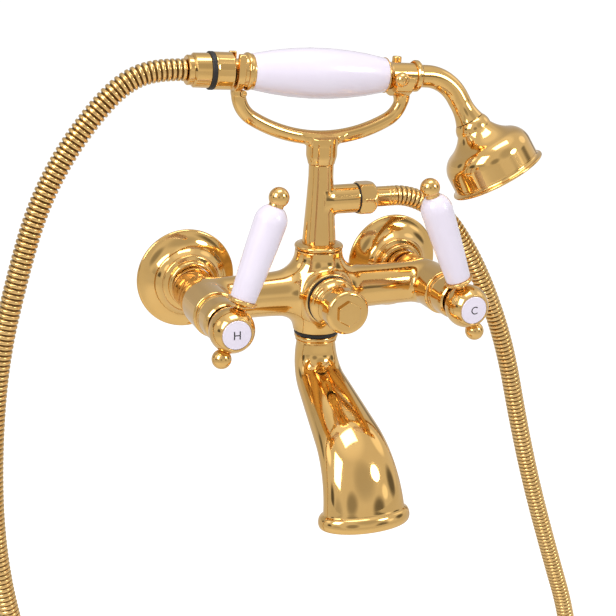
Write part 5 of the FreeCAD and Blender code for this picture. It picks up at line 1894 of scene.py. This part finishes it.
@dataclass
class ShowerHose:
    """Ribbed metal hose, 1.5 m long, that hangs from the riser's outlet to the handset."""

    layout: Layout
    rib_r: float = 6.6
    valley_r: float = 5.1
    ribs: int = 470
    rings_per_rib: int = 8
    rise: tuple[float, float] = (0.02, 0.3)          # where a rib's flank starts and ends, in ribs
    groove_shade: tuple[float, float] = (0.04, 0.24)        # where the grooves' painted shade starts to fade, and ends
    sides: int = 20
    real_length: float = 1500.0
    route: tuple[tuple[float, float], ...] = (
        (52, 58.2), (63.5, 58.2), (90, 43), (109, 18), (127, -14), (145.5, -58), (161, -115), (178, -170),
        (200, -231), (222, -289), (233, -346), (221, -398), (186, -437), (134, -460), (72, -468), (9, -460),
        (-51, -436), (-103, -400), (-145, -354), (-175, -302), (-196, -246), (-208, -192), (-212.5, -136),
        (-210, -78), (-203, -24), (-190, 24), (-177.5, 62.5), (-161.5, 92.5), (-142.5, 117.5), (-124.5, 135),
        (-105.49, 142.19), (-87.51, 141.37))

    def line(self) -> Piece:
        """Lay the hose's centre line as one smooth NURBS spline."""
        curve = bpy.data.curves.new("hose_line", "CURVE")
        curve.dimensions = "3D"
        curve.resolution_u = 24
        spline = curve.splines.new("NURBS")
        spline.points.add(len(self.route) - 1)
        for point, (x, z) in zip(spline.points, self.route):
            point.co = (x * MM, -self.layout.standoff * MM, z * MM, 1.0)
        spline.order_u = 3
        spline.use_endpoint_u = True
        return link("hose_line", curve)

    def tree(self, material: Material) -> tuple[Tree, dict[str, str]]:
        """Build the tree that sweeps a ribbed tube along a curve.

        Args:
            material: Finish of the hose.

        Returns:
            The tree, and the identifier of each input by its name.
        """
        tree, given, ids = start_group("ribbed_hose", {
            "Ribs": "Int", "Rings per rib": "Int", "Sides": "Int", "Rib radius": "Float",
            "Valley radius": "Float"}, True)
        count = add(tree, "ShaderNodeMath", MULTIPLY,
                    {0: (given, "Ribs"), 1: (given, "Rings per rib")})
        more = add(tree, "ShaderNodeMath", {"operation": "ADD"}, {0: (count, 0), 1: 1.0})
        even = add(tree, "GeometryNodeResampleCurve", None,
                   {"Curve": (given, "Geometry"), "Count": (more, 0)})
        share = add(tree, "GeometryNodeSplineParameter")
        turns = add(tree, "ShaderNodeMath", MULTIPLY,
                    {0: (share, "Factor"), 1: (given, "Ribs")})
        phase = add(tree, "ShaderNodeMath", {"operation": "PINGPONG"}, {0: (turns, 0), 1: 0.5})
        crest = add(tree, "ShaderNodeMapRange", EASED,
                    {"Value": (phase, 0), "From Min": self.rise[0], "From Max": self.rise[1],
                     "To Min": (given, "Valley radius"), "To Max": (given, "Rib radius")})
        # Painted shade mask: one in the valleys, fading to nothing up the ribs' flanks; stored as the groove
        # attribute.
        deep = add(tree, "ShaderNodeMapRange", EASED,
                   {"Value": (phase, 0), "From Min": self.groove_shade[0], "From Max": self.groove_shade[1],
                    "To Min": 1.0, "To Max": 0.0})
        marked = add(tree, "GeometryNodeStoreNamedAttribute", {"data_type": "FLOAT", "domain": "POINT"},
                     {"Geometry": (even, 0), "Name": "groove", "Value": (deep, 0)})
        sized = add(tree, "GeometryNodeSetCurveRadius", None, {"Curve": (marked, 0), "Radius": (crest, 0)})
        rim = add(tree, "GeometryNodeCurvePrimitiveCircle", None,
                  {"Resolution": (given, "Sides"), "Radius": 1.0})
        tube = add(tree, "GeometryNodeCurveToMesh", None,
                   {"Curve": (sized, 0), "Profile Curve": (rim, 0), "Fill Caps": True})
        if "Scale" in tube.inputs:
            tree.links.new(crest.outputs[0], tube.inputs["Scale"])
        smooth = add(tree, "GeometryNodeSetShadeSmooth", None, {0: (tube, 0)})
        end_group(tree, smooth, material)
        return tree, ids

    def build(self, shop: Workshop) -> None:
        line = self.line()
        centre = evaluated(line)
        bpy.data.meshes.remove(centre)
        tree, ids = self.tree(shop.material(Finish.HOSE))
        mesh = grown(line, tree, ids, {
            "Ribs": self.ribs, "Rings per rib": self.rings_per_rib, "Sides": self.sides,
            "Rib radius": self.rib_r * MM, "Valley radius": self.valley_r * MM})
        hose = link("ribbed_shower_hose", mesh)
        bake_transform(hose)
        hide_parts("shower_hose")


@dataclass(frozen=True)
class Softbox:
    """One studio lamp, aimed at the mixer."""

    name: str
    azimuth: float
    elevation: float
    distance_m: float
    width_m: float
    height_m: float
    watts: float
    round: bool = False
    aim: tuple[float, float, float] = (0.0, -0.05, -0.03)

    def hang(self) -> None:
        """Put the lamp into the scene."""
        lamp = bpy.data.lights.new(self.name, "AREA")
        lamp.shape = "ELLIPSE" if self.round else "RECTANGLE"
        lamp.size = self.width_m
        lamp.size_y = self.height_m
        lamp.energy = self.watts
        back = np.array(toward(self.azimuth, self.elevation))
        spot = np.array(self.aim) + back * self.distance_m
        link(self.name, lamp).matrix_world = facing(spot, back, 0.0)


def toward(azimuth: float, elevation: float) -> tuple[float, float, float]:
    """Return the direction of an azimuth, seen from the front, and an elevation in degrees."""
    a, e = radians(azimuth), radians(elevation)
    return sin(a) * cos(e), -cos(a) * cos(e), sin(e)


def facing(spot: Array, back: Array, roll: float) -> Matrix:
    """Place something so that its own Z points back along a direction.

    Args:
        spot: Its place in metres.
        back: Direction from what it looks at to it.
        roll: Turn about that direction, in radians.

    Returns:
        The matrix.
    """
    z = unit(back)
    x0 = unit(np.cross(UP, z))
    y0 = np.cross(z, x0)
    x = x0 * cos(roll) + y0 * sin(roll)
    y = y0 * cos(roll) - x0 * sin(roll)
    return Matrix([[x[i], y[i], z[i], spot[i]] for i in range(3)] + [[0, 0, 0, 1]])


@dataclass(frozen=True)
class Studio:
    """White studio: paper floor, pale surround with darker patches for the metal to mirror, and lamps."""

    floor_m: float = -0.492
    floor_half_m: float = 60.0
    floor_glow: float = 0.6
    mirror_range_m: tuple[float, float] = (0.7, 2.6)
    mirror_glow: float = 0.22
    fibre_scale: float = 220.0       # features of about 4.5 mm; real paper fibre is too fine to show
    paint_level: float = 0.52
    mirror_level: float = 0.8
    camera_azimuth: float = -22.28
    camera_elevation: float = 18.28
    camera_roll: float = 1.65
    focal_px: float = 1192.11
    photo_px: float = 616.0
    sensor_mm: float = 36.0
    distance_mm: float = 827.34
    target: tuple[float, float, float] = (13.11, 0.0, -29.84)

    def camera(self) -> None:
        """Set the camera at the photograph's viewing angle."""
        back = np.array(toward(self.camera_azimuth, self.camera_elevation))
        lens = bpy.data.cameras.new("camera")
        lens.sensor_width = self.sensor_mm
        lens.lens = self.focal_px / self.photo_px * self.sensor_mm
        lens.clip_start = 0.05
        lens.clip_end = 100.0
        spot = (np.array(self.target) + back * self.distance_mm) * MM
        holder = link("camera", lens)
        holder.matrix_world = facing(spot, back, radians(self.camera_roll))
        bpy.context.scene.camera = holder

    def floor(self) -> None:
        """Lay the paper floor, which keeps the mixer's shadow."""
        mesh = bpy.data.meshes.new("paper_floor")
        half = self.floor_half_m
        corners = [(-half, -half), (half, -half), (half, half), (-half, half)]
        mesh.from_pydata([(x, y, self.floor_m) for x, y in corners], [], [(0, 1, 2, 3)])
        floor = link("paper_floor", mesh)
        material = bpy.data.materials.new("white_paper")
        tree = emptied(material)
        rays = add(tree, "ShaderNodeLightPath")
        place = add(tree, "ShaderNodeTexCoord")
        fibre = add(tree, "ShaderNodeTexNoise", None,
                    {"Vector": (place, 3), "Scale": self.fibre_scale, "Detail": 4.0})
        tone = add(tree, "ShaderNodeMix", COLOURS,
                   {0: (fibre, 0), 6: linear("#F3F3F2"), 7: linear("#F7F7F6")})
        paper = add(tree, "ShaderNodeBsdfDiffuse", None, {"Color": (tone, 2)})
        far = add(tree, "ShaderNodeVectorMath", {"operation": "LENGTH"}, {0: (place, 3)})
        mirrored = add(tree, "ShaderNodeMapRange", EASED,
                       {"Value": (far, "Value"), "From Min": self.mirror_range_m[0],
                        "From Max": self.mirror_range_m[1], "To Min": 0.0, "To Max": self.mirror_glow})
        seen = add(tree, "ShaderNodeMath", MULTIPLY, {0: (rays, "Is Camera Ray"), 1: self.floor_glow})
        glossy = add(tree, "ShaderNodeMath", MULTIPLY,
                     {0: (rays, "Is Glossy Ray"), 1: (mirrored, 0)})
        strength = add(tree, "ShaderNodeMath", {"operation": "ADD"}, {0: (seen, 0), 1: (glossy, 0)})
        glow = add(tree, "ShaderNodeEmission", None, {"Strength": (strength, 0)})
        both = add(tree, "ShaderNodeAddShader", None, {0: (paper, 0), 1: (glow, 0)})
        clear = add(tree, "ShaderNodeBsdfTransparent")
        side = add(tree, "ShaderNodeNewGeometry")
        mixed = add(tree, "ShaderNodeMixShader", None,
                    {0: (side, "Backfacing"), 1: (both, 0), 2: (clear, 0)})
        add(tree, "ShaderNodeOutputMaterial", None, {"Surface": (mixed, 0)})
        mesh.materials.append(material)

    def surround(self) -> None:
        """Light the surround: white to the camera, even to paint, and in patches to polished metal."""
        world = bpy.data.worlds.new("studio")
        bpy.context.scene.world = world
        tree = emptied(world)
        rays = add(tree, "ShaderNodeLightPath")
        way = add(tree, "ShaderNodeTexCoord")
        level: tuple[Node, Any] | float = self.mirror_level
        for azimuth, elevation, inner, outer, factor in self.patches():
            dot = add(tree, "ShaderNodeVectorMath", {"operation": "DOT_PRODUCT"},
                      {0: (way, 0), 1: toward(azimuth, elevation)})
            patch = add(tree, "ShaderNodeMapRange", EASED,
                        {"Value": (dot, "Value"), "From Min": cos(radians(outer)),
                         "From Max": cos(radians(inner)), "To Min": 1.0, "To Max": factor})
            level = (add(tree, "ShaderNodeMath", MULTIPLY, {0: level, 1: (patch, 0)}), 0)
        glossy = add(tree, "ShaderNodeMix", NUMBERS,
                     {0: (rays, "Is Glossy Ray"), 2: self.paint_level, 3: level})
        strength = add(tree, "ShaderNodeMix", NUMBERS,
                       {0: (rays, "Is Camera Ray"), 2: (glossy, 0), 3: 1.0})
        back = add(tree, "ShaderNodeBackground", None,
                   {"Color": (1.0, 1.0, 1.0, 1.0), "Strength": (strength, 0)})
        add(tree, "ShaderNodeOutputWorld", None, {"Surface": (back, 0)})

    @staticmethod
    def patches() -> tuple[tuple[float, float, float, float, float], ...]:
        """Patches of the surround: azimuth, elevation, inner and outer angle, and brightness factor."""
        return (
            (-150.0, 22.0, 12.0, 38.0, 0.7),
            (-128.0, 8.0, 5.0, 9.0, 0.3),
            (-104.0, 30.0, 7.0, 12.0, 1.9),
            (-84.0, 4.0, 4.0, 12.0, 0.15),
            (-58.0, -4.0, 6.0, 20.0, 0.65),
            (-20.0, 12.0, 5.0, 16.0, 0.45),
            (12.0, 34.0, 8.0, 26.0, 0.7),
            (32.0, 2.0, 4.0, 14.0, 0.25),
            (50.0, 12.0, 4.0, 8.0, 1.7),
            (74.0, 10.0, 5.0, 15.0, 0.2),
            (96.0, 34.0, 8.0, 14.0, 1.6),
            (128.0, 6.0, 5.0, 10.0, 0.4),
            (155.0, 26.0, 12.0, 36.0, 0.7),
            (0.0, 88.0, 20.0, 34.0, 1.3),
        )

    def build(self) -> None:
        """Set the camera, floor, surround and lamps."""
        self.camera()
        self.floor()
        self.surround()
        for lamp in (Softbox("key_softbox", -62.0, 34.0, 1.3, 0.5, 0.72, 8.0),
                     Softbox("fill_softbox", 40.0, 30.0, 1.4, 0.4, 0.4, 4.5, True),
                     Softbox("top_softbox", 10.0, 82.0, 1.3, 0.7, 0.4, 4.2)):
            lamp.hang()
        bpy.context.scene.view_settings.view_transform = "Standard"


def main() -> None:
    """Build the mixer piece by piece, then the studio."""
    logging.basicConfig(level=logging.INFO, format="%(name)s: %(message)s")
    layout = Layout()
    shop = Workshop()
    assemblies = [WallMounting(layout), BodyCasting(layout)] + [Valve(layout, side) for side in Side]
    assemblies += [kind(layout) for kind in (Diverter, Riser, Cradle, Handset, Spout, ShowerHose)]
    for assembly in assemblies:
        assembly.build(shop)
    Studio().build()


if __name__ == "__main__":
    main()
